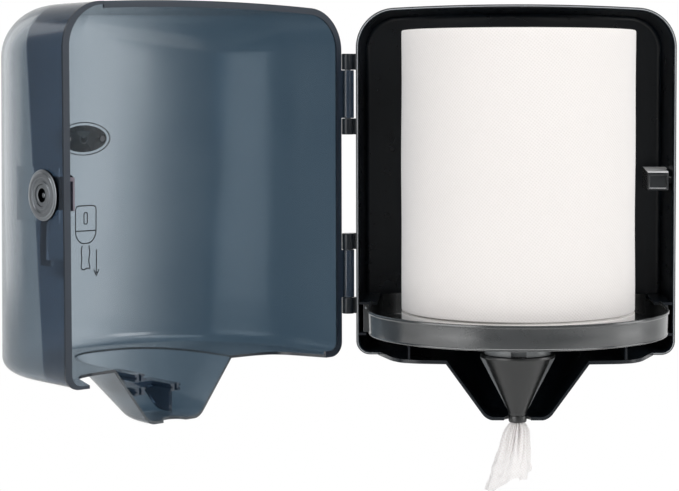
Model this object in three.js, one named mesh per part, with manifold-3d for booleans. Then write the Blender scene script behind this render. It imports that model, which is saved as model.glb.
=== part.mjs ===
// Centrefeed roll dispenser for a wall: a black back housing that carries a tray, a paper roll and a
// funnel, and a translucent door on the housing's left edge, shown swung open.
// Millimetres. X to the right, Y into the wall, Z up. The wall is the plane Y = 0, X = 0 is the
// housing's middle and Z = 0 is about half way up the box.
// Door pieces are drawn with the door closed and then turned about the hinge axis.
import * as THREE from 'three';
import { mergeVertices } from 'three/addons/utils/BufferGeometryUtils.js';
import Module from 'manifold-3d';

const wasm = await Module();
wasm.setup();
const RAD = Math.PI / 180;

// Outline that the housing and the door share, seen from the front
const outline = {
  halfWidth: 136.5, top: 149.8, bottom: -149.7,
  crownRadius: 1880, topCorner: 34, bottomCorner: 12,
};
// General clearances
const gap = {
  touch: 0.3,        // between pieces that rest on each other
  doorEdge: 0.8,     // between the closed door's rim and the housing's rim
  overrun: 2,        // how far every cut runs past the face that it opens
};
const housing = {
  depth: 78, wall: 3, draft: 2.2, rearRound: 3,
  tongueReach: 54,   // how far the bottom plate runs forward of the rim
  ribInset: 46.5, ribThick: 2, ribFrontGap: 6,
  holeInset: 51.5, holeZ: 95, holeRadius: 3.2,
};
// The line in plan where the housing's bottom plate meets the door's bottom, right half,
// as insets from the outline's side and shares of the tongue's reach
const parting = {
  corner: 18.5, shoulder: 31.5, bend: 39.5, ease: 52.5, spoutInset: 2.3,
  shoulder_share: 0.66, bend_share: 0.86, ease_share: 0.95,
};
const spout = {
  top: -146.8, bottom: -196.4, round: 5, topHalfWidth: 61.5, bottomHalfWidth: 25.5,
  doorTopReach: 107, doorBottomReach: 50, wallTopReach: 98, wallBottomReach: 46,
  wall: 2.6, squareness: 2.6, notchRadius: 11.2,
};
const rail = {
  upperZ: -104.4, lowerZ: -130.8, thick: 2, upperReach: 15, lowerReach: 5.8, rearGap: 6,
};
const hinge = {
  outside: 6.7, knuckleRadius: 5.25, pinRadius: 2.4, boreRadius: 2.75,
  upperZ: 107.8, lowerZ: -45.2, knuckle: 13.6, doorKnuckle: 40.6, leafThick: 5.2, knuckleGap: 0.4,
  leafOffset: 0.6,
};
const hingeX = -outline.halfWidth - hinge.outside;
const door = {
  topDrop: 1.6,          // its roof lies this much under the housing's
  wall: 2.5, straight: 54, depth: 190.5, topSetback: 6.5, squareness: 2.12,
  sideRound: 33, frontRound: 13, bottomRound: 12, roofFall: 5.2, roundSpread: 0.7,
  roundSwell: 9,
  rimWidth: 5.4, rimDepth: 2.2, lip: 3.2, openAngle: 135.6,
};
// How far the front stands before the rim plane at the top, and at most
const doorTopDepth = door.depth - door.topSetback;
const doorDeepest = Math.max(door.depth, doorTopDepth);
// Shares of a rounding that its rings are drawn in and up by, and of the roof's inner rings
const firstRing_share = 0.3;
const roofRing_shares = [0.7, 0.4];
// Points closer than this are one point
const weld = 1e-4;
const thumb = { low: -23.2, high: 18.5, from: 12, to: 90, depth: 1.1 };
const tray = {
  sideRoom: 12.2, reach: 112, top: -103.3, bottom: -123.6, wall: 2.2, floor: 2.4, taper: 1.4,
  rearGap: 14, rearCorner: 22, sideDrop: 3.9, sideFrom: 76, runnerReach: 6.2, runnerLow: -130.2,
  runnerRear: 20, neckRadius: 26.2, neckBore: 23.6, neckLow: -136.6, lip: 0.9,
  lipHeight: 1.8,
};
const trayHalf = outline.halfWidth - tray.sideRoom;
const stud = { radius: 1.3, length: 9, fromEnd: 2.6, fromTop: 2.6, head: 2.1, headThick: 1.2 };
const funnel = {
  top: -140.6, flangeRadius: 31, flangeThick: 2.6, tipRadius: 7.3, tipZ: -191.6, wall: 1.9,
  finThick: 1.6, finReach: 2.6, innerShoulder: 3,
};
const collar = { outer: 27.6, high: -137.6, slotHalfWidth: 6.2, slotDepth: 2.4, inner: 23.2 };
const nozzle = { lipRadius: 7.5, lipThick: 5.4, bore: 5.6, sleeve: 6.6, sleeveHigh: 5 };
const roll = {
  frontRoom: 15.8, core: 27, top: 126, round: 1.6, creaseZ: -104, creaseDepth: 0.7, creaseHalf: 1.1,
};
const rollRadius = tray.reach - roll.frontRoom;
const tail = {
  high: -117, neckZ: -180, lipZ: -198.6, mouthZ: -204, midZ: -226, low: -250.5,
  highRadius: 12, neckRadius: 4.6, mouthRadius: 9.4, midRadius: 11, lowRadius: 17.4,
  lean: 7.6, leanPower: 1.5, flat: 0.62, fold_share: 0.22, start_share: 0.35, droop_share: 0.35,
};
const tailFolds = { around: 5, droops: 3, steps: 40, levels: 22 };
const lock = {
  fromRim: 33.5, z: -2.7, plateRadius: 19.8, plateThick: 3.2, ringWidth: 2.6, ringStep: 0.8,
  barrelRadius: 8.2, bearing: 8.55, spigotRadius: 11, wallHole: 11.4, barrelProud: 0.5,
  keyBore: 5.4, keyDepth: 4.2, keyPost: 1.9, keyPostDrop: 1.5, spindleRadius: 4.6, spindleBore: 4.95,
  unlockTurn: 90,
};
const hook = {
  fromOutside: 4.05, thick: 1.7, eyeRadius: 9, armHalf: 4.2, armDrop: 6.2, fingerThick: 4.6,
  fingerHigh: 2.6, neckGap: 0.6,
};
const hookFace = outline.halfWidth - hook.fromOutside;
const clip = { radius: 7.4, thick: 1.3, grooveRadius: 3.9, fit: 0.3, mouth: 5.2 };
const bracket = {
  hookGap: 0.35, thick: 1.6, low: -13.7, high: 11.8, from: 2.6, to: 52, flange: 3, screwRadius: 1.7,
  screwHead: 3, screwHeadThick: 1.8, screwFromRim: 9, screwSpacing: 33,
};
const bracketFace = hookFace - hook.thick - bracket.hookGap - bracket.thick;
const catchBlock = {
  fromOutside: 6.3, width: 18.4, low: -8.5, high: 7.6, front: 77, depth: 42, bevel: 1.4,
  panelSide: 2, panelTop: 3.6, panelDepth: 1.6, footFrom: 26, footReach: 1.7,
  neckHalf: 3, neckFrom: 8.8, neckDepth: 6,
};
const catchRight = outline.halfWidth - catchBlock.fromOutside;
const badge = {
  z: 34.5, width: 46, height: 23.4, proud: 0.7, sunk: 0.7, rimWidth: 53, rimHeight: 30, recess: 0.9,
  bossRadius: 3, bossProud: 0.7, pinRadius: 1.3, pinX: 17.5, starRadius: 3.2, starThick: 0.8,
};
const yoke = {
  halfWidth: 23, innerHalf: 13, from: 77.5, crossFrom: 104, to: 121, high: -169.5, thick: 6,
  webX: -16, webThick: 3, webFrom: 82, armHigh: -158, armThick: 6, armTo: 117, postFrom: 108,
};
const segments = { round: 40, small: 20, corner: 8, crown: 14, plan: 32, spout: 20, fillet: 5 };

// Solids: booleans and the way to and from three.js geometry
function solidOf(geometry) {
  const bare = geometry.clone();
  bare.deleteAttribute('normal');
  bare.deleteAttribute('uv');
  const merged = mergeVertices(bare, weld);
  const triVerts = Uint32Array.from(merged.index.array);
  const vertProperties = Float32Array.from(merged.attributes.position.array);
  return new wasm.Manifold(new wasm.Mesh({ numProp: 3, vertProperties, triVerts }));
}

function geometryOf(solid) {
  const { vertProperties, triVerts, numProp } = solid.getMesh();
  const geometry = new THREE.BufferGeometry();
  const positions = new Float32Array((vertProperties.length / numProp) * 3);
  for (let i = 0; i < positions.length / 3; i++) {
    for (let k = 0; k < 3; k++) positions[3 * i + k] = vertProperties[numProp * i + k];
  }
  geometry.setAttribute('position', new THREE.BufferAttribute(positions, 3));
  geometry.setIndex(Array.from(triVerts));
  geometry.computeVertexNormals();
  return geometry;
}

const join = (...solids) => solids.reduce((a, b) => a.add(b));
const cut = (solid, ...tools) => tools.reduce((a, b) => a.subtract(b), solid);

function block(x0, x1, y0, y1, z0, z1) {
  const box = new THREE.BoxGeometry(x1 - x0, y1 - y0, z1 - z0);
  return solidOf(box.translate((x0 + x1) / 2, (y0 + y1) / 2, (z0 + z1) / 2));
}

// A cylinder along 'x', 'y' or 'z' from a to b; the other two coordinates of its axis in order
function rod(axis, radius, a, b, u, v, sides = segments.small) {
  const round = new THREE.CylinderGeometry(radius, radius, Math.abs(b - a), sides);
  const middle = (a + b) / 2;
  if (axis === 'x') return solidOf(round.rotateZ(Math.PI / 2).translate(middle, u, v));
  if (axis === 'y') return solidOf(round.translate(u, middle, v));
  return solidOf(round.rotateX(Math.PI / 2).translate(u, v, middle));
}

// A flat outline of [across, along] points made thick
function extruded(points, thick) {
  const shape = new THREE.Shape(points.map(([x, y]) => new THREE.Vector2(x, y)));
  return new THREE.ExtrudeGeometry(shape, { depth: thick, bevelEnabled: false });
}
const prismZ = (points, z0, z1) => solidOf(extruded(points, z1 - z0).translate(0, 0, z0));
// Points are [x, z]; the prism fills y0 to y1
const prismY = (points, y0, y1) => solidOf(
  extruded(points, y1 - y0).rotateX(Math.PI / 2).translate(0, y1, 0));
// Points are [y, z]; the prism fills x0 to x1
function prismX(points, x0, x1) {
  const turn = new THREE.Matrix4().makeBasis(
    new THREE.Vector3(0, 1, 0), new THREE.Vector3(0, 0, 1), new THREE.Vector3(1, 0, 0));
  return solidOf(extruded(points, x1 - x0).applyMatrix4(turn).translate(x0, 0, 0));
}

// A turned solid about a vertical axis through (x, y); the profile is [radius, z]
function turned(profile, x, y, sides = segments.round) {
  const points = profile.map(([r, z]) => new THREE.Vector2(r, z));
  const lathe = new THREE.LatheGeometry(points, sides).rotateX(Math.PI / 2);
  return solidOf(faceOut(lathe.translate(x, y, 0)));
}

// Turns a closed geometry's faces outward where its winding gave a negative volume
function faceOut(geometry) {
  const bare = geometry.clone();
  bare.deleteAttribute('normal');
  bare.deleteAttribute('uv');
  const merged = mergeVertices(bare, weld);
  const p = merged.attributes.position;
  const index = merged.index.array;
  const [a, b, c] = [new THREE.Vector3(), new THREE.Vector3(), new THREE.Vector3()];
  let volume = 0;
  for (let i = 0; i < index.length; i += 3) {
    a.fromBufferAttribute(p, index[i]);
    b.fromBufferAttribute(p, index[i + 1]);
    c.fromBufferAttribute(p, index[i + 2]);
    volume += a.dot(b.cross(c));
  }
  const kept = [];
  for (let i = 0; i < index.length; i += 3) {
    const [u, v, w] = [index[i], index[i + 1], index[i + 2]];
    if (u === v || v === w || u === w) continue;
    kept.push(...(volume < 0 ? [u, w, v] : [u, v, w]));
  }
  merged.setIndex(kept);
  return merged;
}

// A closed solid through a stack of rings of equal length. The first and the last ring are closed
// by flat faces, worked out on the two axes named in flat; an apex closes the last ring instead.
function layered(rings, flat, apex = null) {
  const count = rings[0].length;
  const positions = rings.flat(2);
  const triangles = [];
  for (let k = 0; k + 1 < rings.length; k++) {
    for (let i = 0; i < count; i++) {
      const a = k * count + i;
      const b = k * count + ((i + 1) % count);
      triangles.push(a, b, b + count, a, b + count, a + count);
    }
  }
  const cap = (k, flip) => {
    const contour = rings[k].map((p) => new THREE.Vector2(p[flat[0]], p[flat[1]]));
    const base = k * count;
    for (const [u, v, w] of THREE.ShapeUtils.triangulateShape(contour, [])) {
      triangles.push(base + u, base + (flip ? w : v), base + (flip ? v : w));
    }
  };
  const ccw = !THREE.ShapeUtils.isClockWise(
    rings[0].map((p) => new THREE.Vector2(p[flat[0]], p[flat[1]])));
  cap(0, ccw);
  if (apex) {
    const base = (rings.length - 1) * count;
    positions.push(...apex);
    const tip = positions.length / 3 - 1;
    for (let i = 0; i < count; i++) triangles.push(base + i, base + ((i + 1) % count), tip);
  } else {
    cap(rings.length - 1, !ccw);
  }
  const geometry = new THREE.BufferGeometry();
  geometry.setAttribute('position', new THREE.Float32BufferAttribute(positions, 3));
  geometry.setIndex(triangles);
  return solidOf(faceOut(geometry));
}

// Points of an arc about (cx, cy), both ends included
function arc(cx, cy, radius, from, to, steps) {
  return Array.from({ length: steps + 1 }, (_, i) => {
    const angle = from + ((to - from) * i) / steps;
    return [cx + radius * Math.cos(angle), cy + radius * Math.sin(angle)];
  });
}

// The height of the crowned top at a place across, for an outline drawn in by inset
function crownHeight(x, inset) {
  const radius = outline.crownRadius - inset;
  return outline.top - outline.crownRadius + Math.sqrt(radius * radius - x * x);
}

// The closed outline seen from the front, as [x, z], drawn in by inset
function frontOutline(inset) {
  const { halfWidth, top, bottom, crownRadius, topCorner, bottomCorner } = outline;
  const low = top - crownRadius;
  const cx = halfWidth - topCorner;
  const cz = low + Math.sqrt((crownRadius - topCorner) ** 2 - cx * cx);
  const lean = Math.atan2(cz - low, cx);
  const bx = halfWidth - bottomCorner;
  const bz = bottom + bottomCorner;
  const { corner, crown } = segments;
  return [
    ...arc(cx, cz, topCorner - inset, 0, lean, corner),
    ...arc(0, low, crownRadius - inset, lean, Math.PI - lean, crown).slice(1, -1),
    ...arc(-cx, cz, topCorner - inset, Math.PI - lean, Math.PI, corner),
    ...arc(-bx, bz, bottomCorner - inset, Math.PI, 1.5 * Math.PI, corner),
    ...arc(bx, bz, bottomCorner - inset, 1.5 * Math.PI, 2 * Math.PI, corner),
  ];
}
const frontRing = (inset, y) => frontOutline(inset).map(([x, z]) => [x, y, z]);

// The parting line in plan from right to left, as [x, y], moved sideways and forward by grow
function partingLine(grow) {
  const rim = -housing.depth;
  const reach = housing.tongueReach;
  const across = (inset) => outline.halfWidth - inset;
  const right = [
    [across(parting.corner) + grow, rim],
    [across(parting.shoulder) + grow, rim - reach * parting.shoulder_share - grow],
    [across(parting.bend) + grow, rim - reach * parting.bend_share - grow],
    [across(parting.ease), rim - reach * parting.ease_share - grow],
    [spout.topHalfWidth - parting.spoutInset, rim - reach - grow],
  ];
  return [...right, ...right.map(([x, y]) => [-x, y]).reverse()];
}

// Half of the spout: a squarish half ellipse in plan that narrows downwards. side is -1 on the
// door's side of the split plane and 1 on the wall's side; past runs over the split plane.
function spoutHalf(side, inset, past, topZ) {
  const split = -housing.depth - housing.tongueReach;
  const topReach = side < 0 ? spout.doorTopReach : spout.wallTopReach;
  const bottomReach = side < 0 ? spout.doorBottomReach : spout.wallBottomReach;
  const power = 2 / spout.squareness;
  const bottom = spout.bottom + inset;
  const round = spout.round;
  const first = round * firstRing_share;
  const levels = [[bottom, round], [bottom + first, first], [bottom + round, 0], [topZ, 0]];
  const rings = levels.map(([z, drawn]) => {
    const share = (z - spout.bottom) / (spout.top - spout.bottom);
    const widening = (spout.topHalfWidth - spout.bottomHalfWidth) * share;
    const width = spout.bottomHalfWidth + widening - inset - drawn;
    const reach = bottomReach + (topReach - bottomReach) * share - inset - drawn;
    const curve = Array.from({ length: segments.spout + 1 }, (_, i) => {
      const angle = (Math.PI * i) / segments.spout;
      const across = width * Math.sign(Math.cos(angle)) * Math.abs(Math.cos(angle)) ** power;
      return [across, split + side * reach * Math.abs(Math.sin(angle)) ** power, z];
    });
    return [[width, split - side * past, z], ...curve, [-width, split - side * past, z]];
  });
  return layered(rings, [0, 1]);
}

// Back housing
function sideLedges() {
  const front = -housing.depth + gap.doorEdge;
  const back = -rail.rearGap;
  const inner = outline.halfWidth - housing.wall - housing.draft;
  const outer = outline.halfWidth - housing.wall / 2;
  const ledges = [];
  for (const side of [-1, 1]) {
    for (const [top, reach] of [[rail.upperZ, rail.upperReach], [rail.lowerZ, rail.lowerReach]]) {
      const edge = outline.halfWidth - housing.wall - reach;
      const [x0, x1] = side < 0 ? [-outer, -edge] : [edge, outer];
      ledges.push(block(x0, x1, front, back, top - rail.thick, top));
    }
    const riser = block(inner, outer, back - rail.thick, back, rail.lowerZ - rail.thick, rail.upperZ);
    ledges.push(side < 0 ? riser.scale([-1, 1, 1]) : riser);
  }
  return ledges;
}

function housingRibs() {
  const front = -housing.depth - housing.tongueReach + housing.ribFrontGap;
  const floor = outline.bottom + housing.wall / 2;
  return [-1, 1].map((side) => {
    const middle = side * (outline.halfWidth - housing.ribInset);
    const half = housing.ribThick / 2;
    return block(middle - half, middle + half, front, -housing.wall / 2, floor, tray.bottom - gap.touch);
  });
}

function housingKnuckles() {
  const half = hinge.knuckle / 2;
  const solids = [];
  for (const z of knuckleCentres()) {
    solids.push(rod('z', hinge.knuckleRadius, z - half, z + half, hingeX, -housing.depth));
    solids.push(block(hingeX, -outline.halfWidth + housing.wall / 2,
      -housing.depth + hinge.leafOffset, -housing.depth + hinge.leafThick, z - half, z + half));
  }
  return solids;
}

// Middles of the four housing knuckles, from the top down
function knuckleCentres() {
  return [hinge.upperZ, hinge.lowerZ].flatMap((top) => [
    top - hinge.knuckle / 2, top - hinge.knuckle * 1.5 - hinge.doorKnuckle - 2 * hinge.knuckleGap]);
}

function pinBores(radius) {
  return [hinge.upperZ, hinge.lowerZ].map((top) => {
    const low = top - 2 * hinge.knuckle - hinge.doorKnuckle - 2 * hinge.knuckleGap;
    return rod('z', radius, low - gap.overrun, top + gap.overrun, hingeX, -housing.depth);
  });
}

function backHousing() {
  const { depth, wall, draft, rearRound } = housing;
  const rim = -depth + gap.doorEdge / 2;
  const first = rearRound * firstRing_share;
  const shell = layered([
    frontRing(0, rim), frontRing(draft, -rearRound), frontRing(draft + first, -first),
    frontRing(draft + rearRound, 0)], [0, 2]);
  const hollow = layered([
    frontRing(wall, rim - gap.overrun), frontRing(wall + draft, -wall)], [0, 2]);
  const plate = partingLine(-gap.doorEdge / 2);
  const corner = outline.halfWidth - parting.corner;
  const tongue = prismZ([...plate, [-corner, rim + wall], [corner, rim + wall]],
    outline.bottom, outline.bottom + wall);
  const split = -depth - housing.tongueReach;
  const behindSplit = block(-outline.halfWidth, outline.halfWidth, split + gap.doorEdge / 2, -wall / 2,
    spout.bottom - gap.overrun, outline.bottom + wall);
  const spoutOuter = spoutHalf(1, 0, gap.overrun, outline.bottom + wall / 2).intersect(behindSplit);
  const spoutInner = spoutHalf(1, spout.wall, gap.overrun, outline.bottom + wall + gap.overrun);
  const notch = rod('z', spout.notchRadius, spout.bottom - gap.overrun, spout.bottom + spout.wall * 2,
    0, split);
  const holes = [-1, 1].flatMap((sx) => [-1, 1].map((sz) => rod('y', housing.holeRadius,
    -wall - gap.overrun, gap.overrun, sx * (outline.halfWidth - housing.holeInset), sz * housing.holeZ)));
  const body = join(cut(shell, hollow), tongue, ...sideLedges(), ...housingRibs(), ...housingKnuckles());
  const bores = pinBores(hinge.pinRadius + gap.touch);
  const withSpout = cut(body.add(spoutOuter), spoutInner, notch, ...holes, ...bores);
  return cut(withSpout, catchNeck(gap.touch));
}

// The catch that the door's hook takes hold of: a bevelled head on a neck from the right wall
function catchNeck(grow) {
  const y0 = -catchBlock.front + catchBlock.neckFrom - grow;
  const middle = (catchBlock.low + catchBlock.high) / 2;
  const half = catchBlock.neckHalf + grow;
  const end = outline.halfWidth - gap.touch + (grow > 0 ? gap.overrun : 0);
  return block(catchRight - gap.touch, end, y0, y0 + catchBlock.neckDepth + 2 * grow,
    middle - half, middle + half);
}

function latchCatch() {
  const { width, low, high, front, depth, bevel, panelSide, panelTop, panelDepth } = catchBlock;
  const right = catchRight;
  const left = right - width;
  const box = (inset, y) => [[left + inset, y, low + inset], [right - inset, y, low + inset],
    [right - inset, y, high - inset], [left + inset, y, high - inset]];
  const head = layered([box(bevel / 2, -front), box(0, -front + bevel / 2), box(0, -front + depth)], [0, 2]);
  const panel = block(left + panelSide, right - panelSide, -front - gap.overrun, -front + panelDepth,
    low + panelSide, high - panelTop);
  const foot = block(right - gap.touch, right + catchBlock.footReach, -front + catchBlock.footFrom,
    -front + depth, low, high);
  return cut(join(head, foot, catchNeck(0)), panel);
}

function hingePin(top) {
  const low = top - 2 * hinge.knuckle - hinge.doorKnuckle - 2 * hinge.knuckleGap;
  return rod('z', hinge.pinRadius, low, top, hingeX, -housing.depth);
}

// Tray: a round-fronted pan with runners at its sides and a neck for the funnel
function trayPlan(inset) {
  const split = -housing.depth - housing.tongueReach;
  const back = -tray.rearGap - inset;
  const half = trayHalf - inset;
  const corner = tray.rearCorner - inset;
  const front = Array.from({ length: segments.plan + 1 }, (_, i) => {
    const angle = (Math.PI * i) / segments.plan;
    return [half * Math.cos(angle), split - (tray.reach - inset) * Math.sin(angle)];
  });
  return [
    ...front,
    ...arc(-half + corner, back - corner, corner, Math.PI, Math.PI / 2, segments.corner),
    ...arc(half - corner, back - corner, corner, Math.PI / 2, 0, segments.corner),
  ];
}
const trayRing = (inset, z) => trayPlan(inset).map(([x, y]) => [x, y, z]);

function trayBody() {
  const axisY = -housing.depth - housing.tongueReach;
  const lipLow = tray.top - tray.lipHeight;
  const pan = layered([trayRing(tray.taper, tray.bottom), trayRing(tray.lip, lipLow - tray.lip),
    trayRing(0, lipLow), trayRing(0, tray.top)], [0, 1]);
  const hollow = layered([trayRing(tray.taper + tray.wall, tray.bottom + tray.floor),
    trayRing(tray.wall, tray.top + gap.overrun)], [0, 1]);
  const runner = block(trayHalf - tray.wall, trayHalf + tray.runnerReach,
    -tray.sideFrom, -tray.runnerRear, tray.runnerLow, rail.upperZ - rail.thick - gap.touch);
  const relief = block(outline.halfWidth - housing.wall - rail.upperReach - gap.overrun, outline.halfWidth,
    -tray.sideFrom - gap.overrun, 0, tray.top - tray.sideDrop, tray.top + gap.overrun);
  const neck = rod('z', tray.neckRadius, tray.neckLow, tray.bottom + tray.floor / 2, 0, axisY,
    segments.round);
  const bore = rod('z', tray.neckBore, tray.neckLow - gap.overrun, tray.top, 0, axisY, segments.round);
  const mirrored = (solid) => [solid, solid.scale([-1, 1, 1])];
  const open = cut(pan, hollow, ...mirrored(relief));
  return cut(join(open, ...mirrored(runner), neck), bore, ...studHoles());
}

// A stud in the front end of each runner
const studPlace = (side) => [side * (trayHalf + tray.runnerReach - stud.fromEnd),
  rail.upperZ - rail.thick - gap.touch - stud.fromTop];
const studHoles = () => [-1, 1].map((side) => rod('y', stud.radius + gap.touch,
  -tray.sideFrom - gap.overrun, -tray.sideFrom + stud.length + gap.touch, ...studPlace(side)));
function trayStud(side) {
  const face = -tray.sideFrom - gap.touch;
  const shank = rod('y', stud.radius, face, -tray.sideFrom + stud.length, ...studPlace(side));
  return shank.add(rod('y', stud.head, face - stud.headThick, face, ...studPlace(side)));
}

// Funnel with its flange and side fins, the bayonet collar over it and the nozzle in its tip
function funnelBody() {
  const axisY = -housing.depth - housing.tongueReach;
  const { top, flangeRadius, flangeThick, tipRadius, tipZ, wall, finThick, finReach } = funnel;
  const shoulder = flangeRadius - funnel.innerShoulder;
  const bore = nozzle.sleeve + gap.touch;
  const seat = tipZ + nozzle.sleeveHigh;
  const shell = turned([
    [tipRadius, tipZ], [shoulder, top - flangeThick], [flangeRadius, top - flangeThick],
    [flangeRadius, top], [shoulder - wall, top], [bore, seat], [bore, tipZ], [tipRadius, tipZ]], 0, axisY);
  const fins = [-1, 1].map((side) => prismY([
    [side * (shoulder - wall), top - flangeThick / 2], [side * flangeRadius, top - flangeThick / 2],
    [side * (tipRadius + finReach / 2), seat], [side * (tipRadius - wall / 2), seat],
  ], axisY - finThick / 2, axisY + finThick / 2));
  return cut(join(shell, ...fins), turned([
    [0, tipZ - gap.overrun], [bore, tipZ - gap.overrun], [bore, seat],
    [shoulder - wall, top + gap.touch], [0, top + gap.touch]], 0, axisY));
}

function funnelCollar() {
  const axisY = -housing.depth - housing.tongueReach;
  const low = funnel.top + gap.touch;
  const high = collar.high + collar.slotDepth;
  const socket = tray.neckRadius + gap.touch;
  const seat = tray.neckLow - gap.touch;
  const ring = turned([[collar.inner, low], [collar.outer, low], [collar.outer, high], [socket, high],
    [socket, seat], [collar.inner, seat], [collar.inner, low]], 0, axisY);
  const slot = block(-collar.slotHalfWidth, collar.slotHalfWidth, axisY - collar.outer - gap.overrun,
    axisY - collar.inner - gap.touch, low - gap.overrun, low + collar.slotDepth / 2);
  return cut(ring, slot);
}

function nozzleTip() {
  const axisY = -housing.depth - housing.tongueReach;
  const { bore, lipRadius, sleeve } = nozzle;
  const lipTop = funnel.tipZ - gap.touch;
  const lipLow = lipTop - nozzle.lipThick;
  const top = funnel.tipZ + nozzle.sleeveHigh - gap.touch;
  return turned([[bore, lipLow], [lipRadius, lipLow], [lipRadius, lipTop], [sleeve, lipTop],
    [sleeve, top], [bore, top], [bore, lipLow]], 0, axisY);
}

// Paper roll without a core, standing on the tray's floor, with a crease near its lower edge
function paperRoll() {
  const axisY = -housing.depth - housing.tongueReach;
  const low = tray.bottom + tray.floor + gap.touch;
  const { core, top, round, creaseZ, creaseDepth, creaseHalf } = roll;
  const radius = rollRadius;
  return turned([
    [core, low], [radius - round, low], [radius, low + round], [radius, creaseZ - creaseHalf],
    [radius - creaseDepth, creaseZ], [radius, creaseZ + creaseHalf], [radius, top - round],
    [radius - round, top], [core, top], [core, low]], 0, axisY, segments.plan * 2);
}

// The paper's end: a strand down the funnel and a crumpled tail below the nozzle
function paperTail() {
  const axisY = -housing.depth - housing.tongueReach;
  const stops = [[tail.high, tail.highRadius], [tail.neckZ, tail.neckRadius], [tail.lipZ, tail.neckRadius],
    [tail.mouthZ, tail.mouthRadius], [tail.midZ, tail.midRadius], [tail.low, tail.lowRadius]];
  const radiusAt = (z) => {
    const k = Math.min(stops.findIndex((s) => z >= s[0]) - 1, stops.length - 2);
    const [z0, r0] = stops[Math.max(k, 0)];
    const [z1, r1] = stops[Math.max(k, 0) + 1];
    return r0 + ((r1 - r0) * (z - z0)) / (z1 - z0);
  };
  const rings = Array.from({ length: tailFolds.levels + 1 }, (_, k) => {
    const z = tail.low + ((tail.high - tail.low) * k) / tailFolds.levels;
    const hang = Math.max(0, (tail.lipZ - z) / (tail.lipZ - tail.low));
    const radius = radiusAt(z);
    return Array.from({ length: tailFolds.steps }, (_, i) => {
      const angle = (2 * Math.PI * i) / tailFolds.steps;
      const pleat = 1 + Math.cos(tailFolds.around * angle + 2 * hang);
      const fold = 1 - tail.fold_share * pleat * Math.min(1, tail.start_share + hang);
      const depth = 1 - (1 - tail.flat) * hang;
      const droop = hang * hang * tail.mouthRadius * tail.droop_share * Math.sin(tailFolds.droops * angle);
      return [radius * fold * Math.cos(angle) - tail.lean * hang ** tail.leanPower,
        axisY + radius * fold * depth * Math.sin(angle), z + droop];
    });
  });
  return layered(rings, [0, 1]);
}

// Door, drawn closed. Places along its depth are measured forward of the rim plane.
const rimY = -housing.depth;
const doorDepth = (z) => {
  const share = (z - outline.bottom) / (outline.top - outline.bottom);
  return door.depth - door.topSetback * share;
};
const roofHeight = (x, forward, inset) => crownHeight(x, inset) - door.topDrop
  - door.roofFall * (forward / doorTopDepth) ** 2;

// The plan curve of the door's wall, from its right rim round the front to its left rim
function doorPlan(inset, start, z) {
  const half = outline.halfWidth - inset;
  const reach = doorDepth(z) - door.straight - inset;
  const power = 2 / door.squareness;
  const curve = Array.from({ length: segments.plan + 1 }, (_, i) => {
    const angle = (Math.PI * i) / segments.plan;
    const c = Math.cos(angle);
    return [half * Math.sign(c) * Math.abs(c) ** power,
      door.straight + reach * Math.abs(Math.sin(angle)) ** power, angle];
  });
  return [[half, start, 0], ...curve, [-half, start, Math.PI]];
}

// The door's outer form drawn in by inset, with its back face at start in front of the rim plane
function doorForm(inset, start) {
  const bottom = outline.bottom + inset;
  const round = door.bottomRound - inset;
  const rings = [];
  for (let k = 0; k <= segments.fillet; k++) {
    const angle = (Math.PI / 2) * (k / segments.fillet);
    const z = bottom + round * (1 - Math.cos(angle));
    rings.push(doorPlan(inset + round * (1 - Math.sin(angle)), start, z).map(([x, f]) => [x, rimY - f, z]));
  }
  // the top rounding is wide at the sides and tighter across the front
  for (let k = 0; k <= segments.fillet; k++) {
    const angle = (Math.PI / 2) * (k / segments.fillet);
    const flat = doorPlan(inset, start, outline.top);
    rings.push(flat.map((_, i) => {
      const turn = flat[i][2];
      const widening = (door.sideRound - door.frontRound) * Math.abs(Math.cos(turn)) ** door.roundSpread;
      const swell = door.roundSwell * Math.abs(Math.sin(2 * turn));
      const radius = door.frontRound + widening + swell - inset;
      const drawn = inset + radius * (1 - Math.cos(angle));
      const [x, f] = doorPlan(drawn, start, outline.top)[i];
      return [x, rimY - f, roofHeight(x, f, inset) - radius * (1 - Math.sin(angle))];
    }));
  }
  const last = rings[rings.length - 1];
  for (const share of roofRing_shares) {
    rings.push(last.map(([x, y]) => {
      const [px, pf] = [x * share, start + (rimY - y - start) * share];
      return [px, rimY - pf, roofHeight(px, pf, inset)];
    }));
  }
  return layered(rings, [0, 1], [0, rimY - start, roofHeight(0, start, inset)]);
}

function ovalPrism(width, height, from, to) {
  const points = arc(0, 0, 1, 0, 2 * Math.PI, segments.round).slice(0, -1)
    .map(([x, z]) => [x * width / 2, badge.z + z * height / 2]);
  return prismY(points, rimY - to, rimY - from);
}

function doorKnuckles() {
  const solids = [];
  for (const top of [hinge.upperZ, hinge.lowerZ]) {
    const high = top - hinge.knuckle - hinge.knuckleGap;
    const low = high - hinge.doorKnuckle;
    solids.push(rod('z', hinge.knuckleRadius, low, high, hingeX, rimY));
    solids.push(block(hingeX, -outline.halfWidth + door.wall / 2,
      rimY - hinge.leafThick, rimY - hinge.leafOffset, low, high));
  }
  return solids;
}

// The rim has a flange inwards along the hinge side and the top. On the free side, where the tray's
// front and the turning hook need the room, it has a lip outwards.
function doorRim(outer) {
  const corner = outline.halfWidth - outline.topCorner;
  const edge = (x0, x1) => block(x0, x1, rimY - door.rimDepth, rimY, outline.bottom, outline.top);
  const flange = cut(outer.intersect(edge(-outline.halfWidth, corner)),
    doorForm(door.rimWidth, -gap.overrun));
  const lip = cut(outer.translate([door.lip, 0, 0]).intersect(edge(corner, outline.halfWidth + door.lip)),
    doorForm(door.wall, -gap.overrun));
  return join(flange, lip);
}

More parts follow.
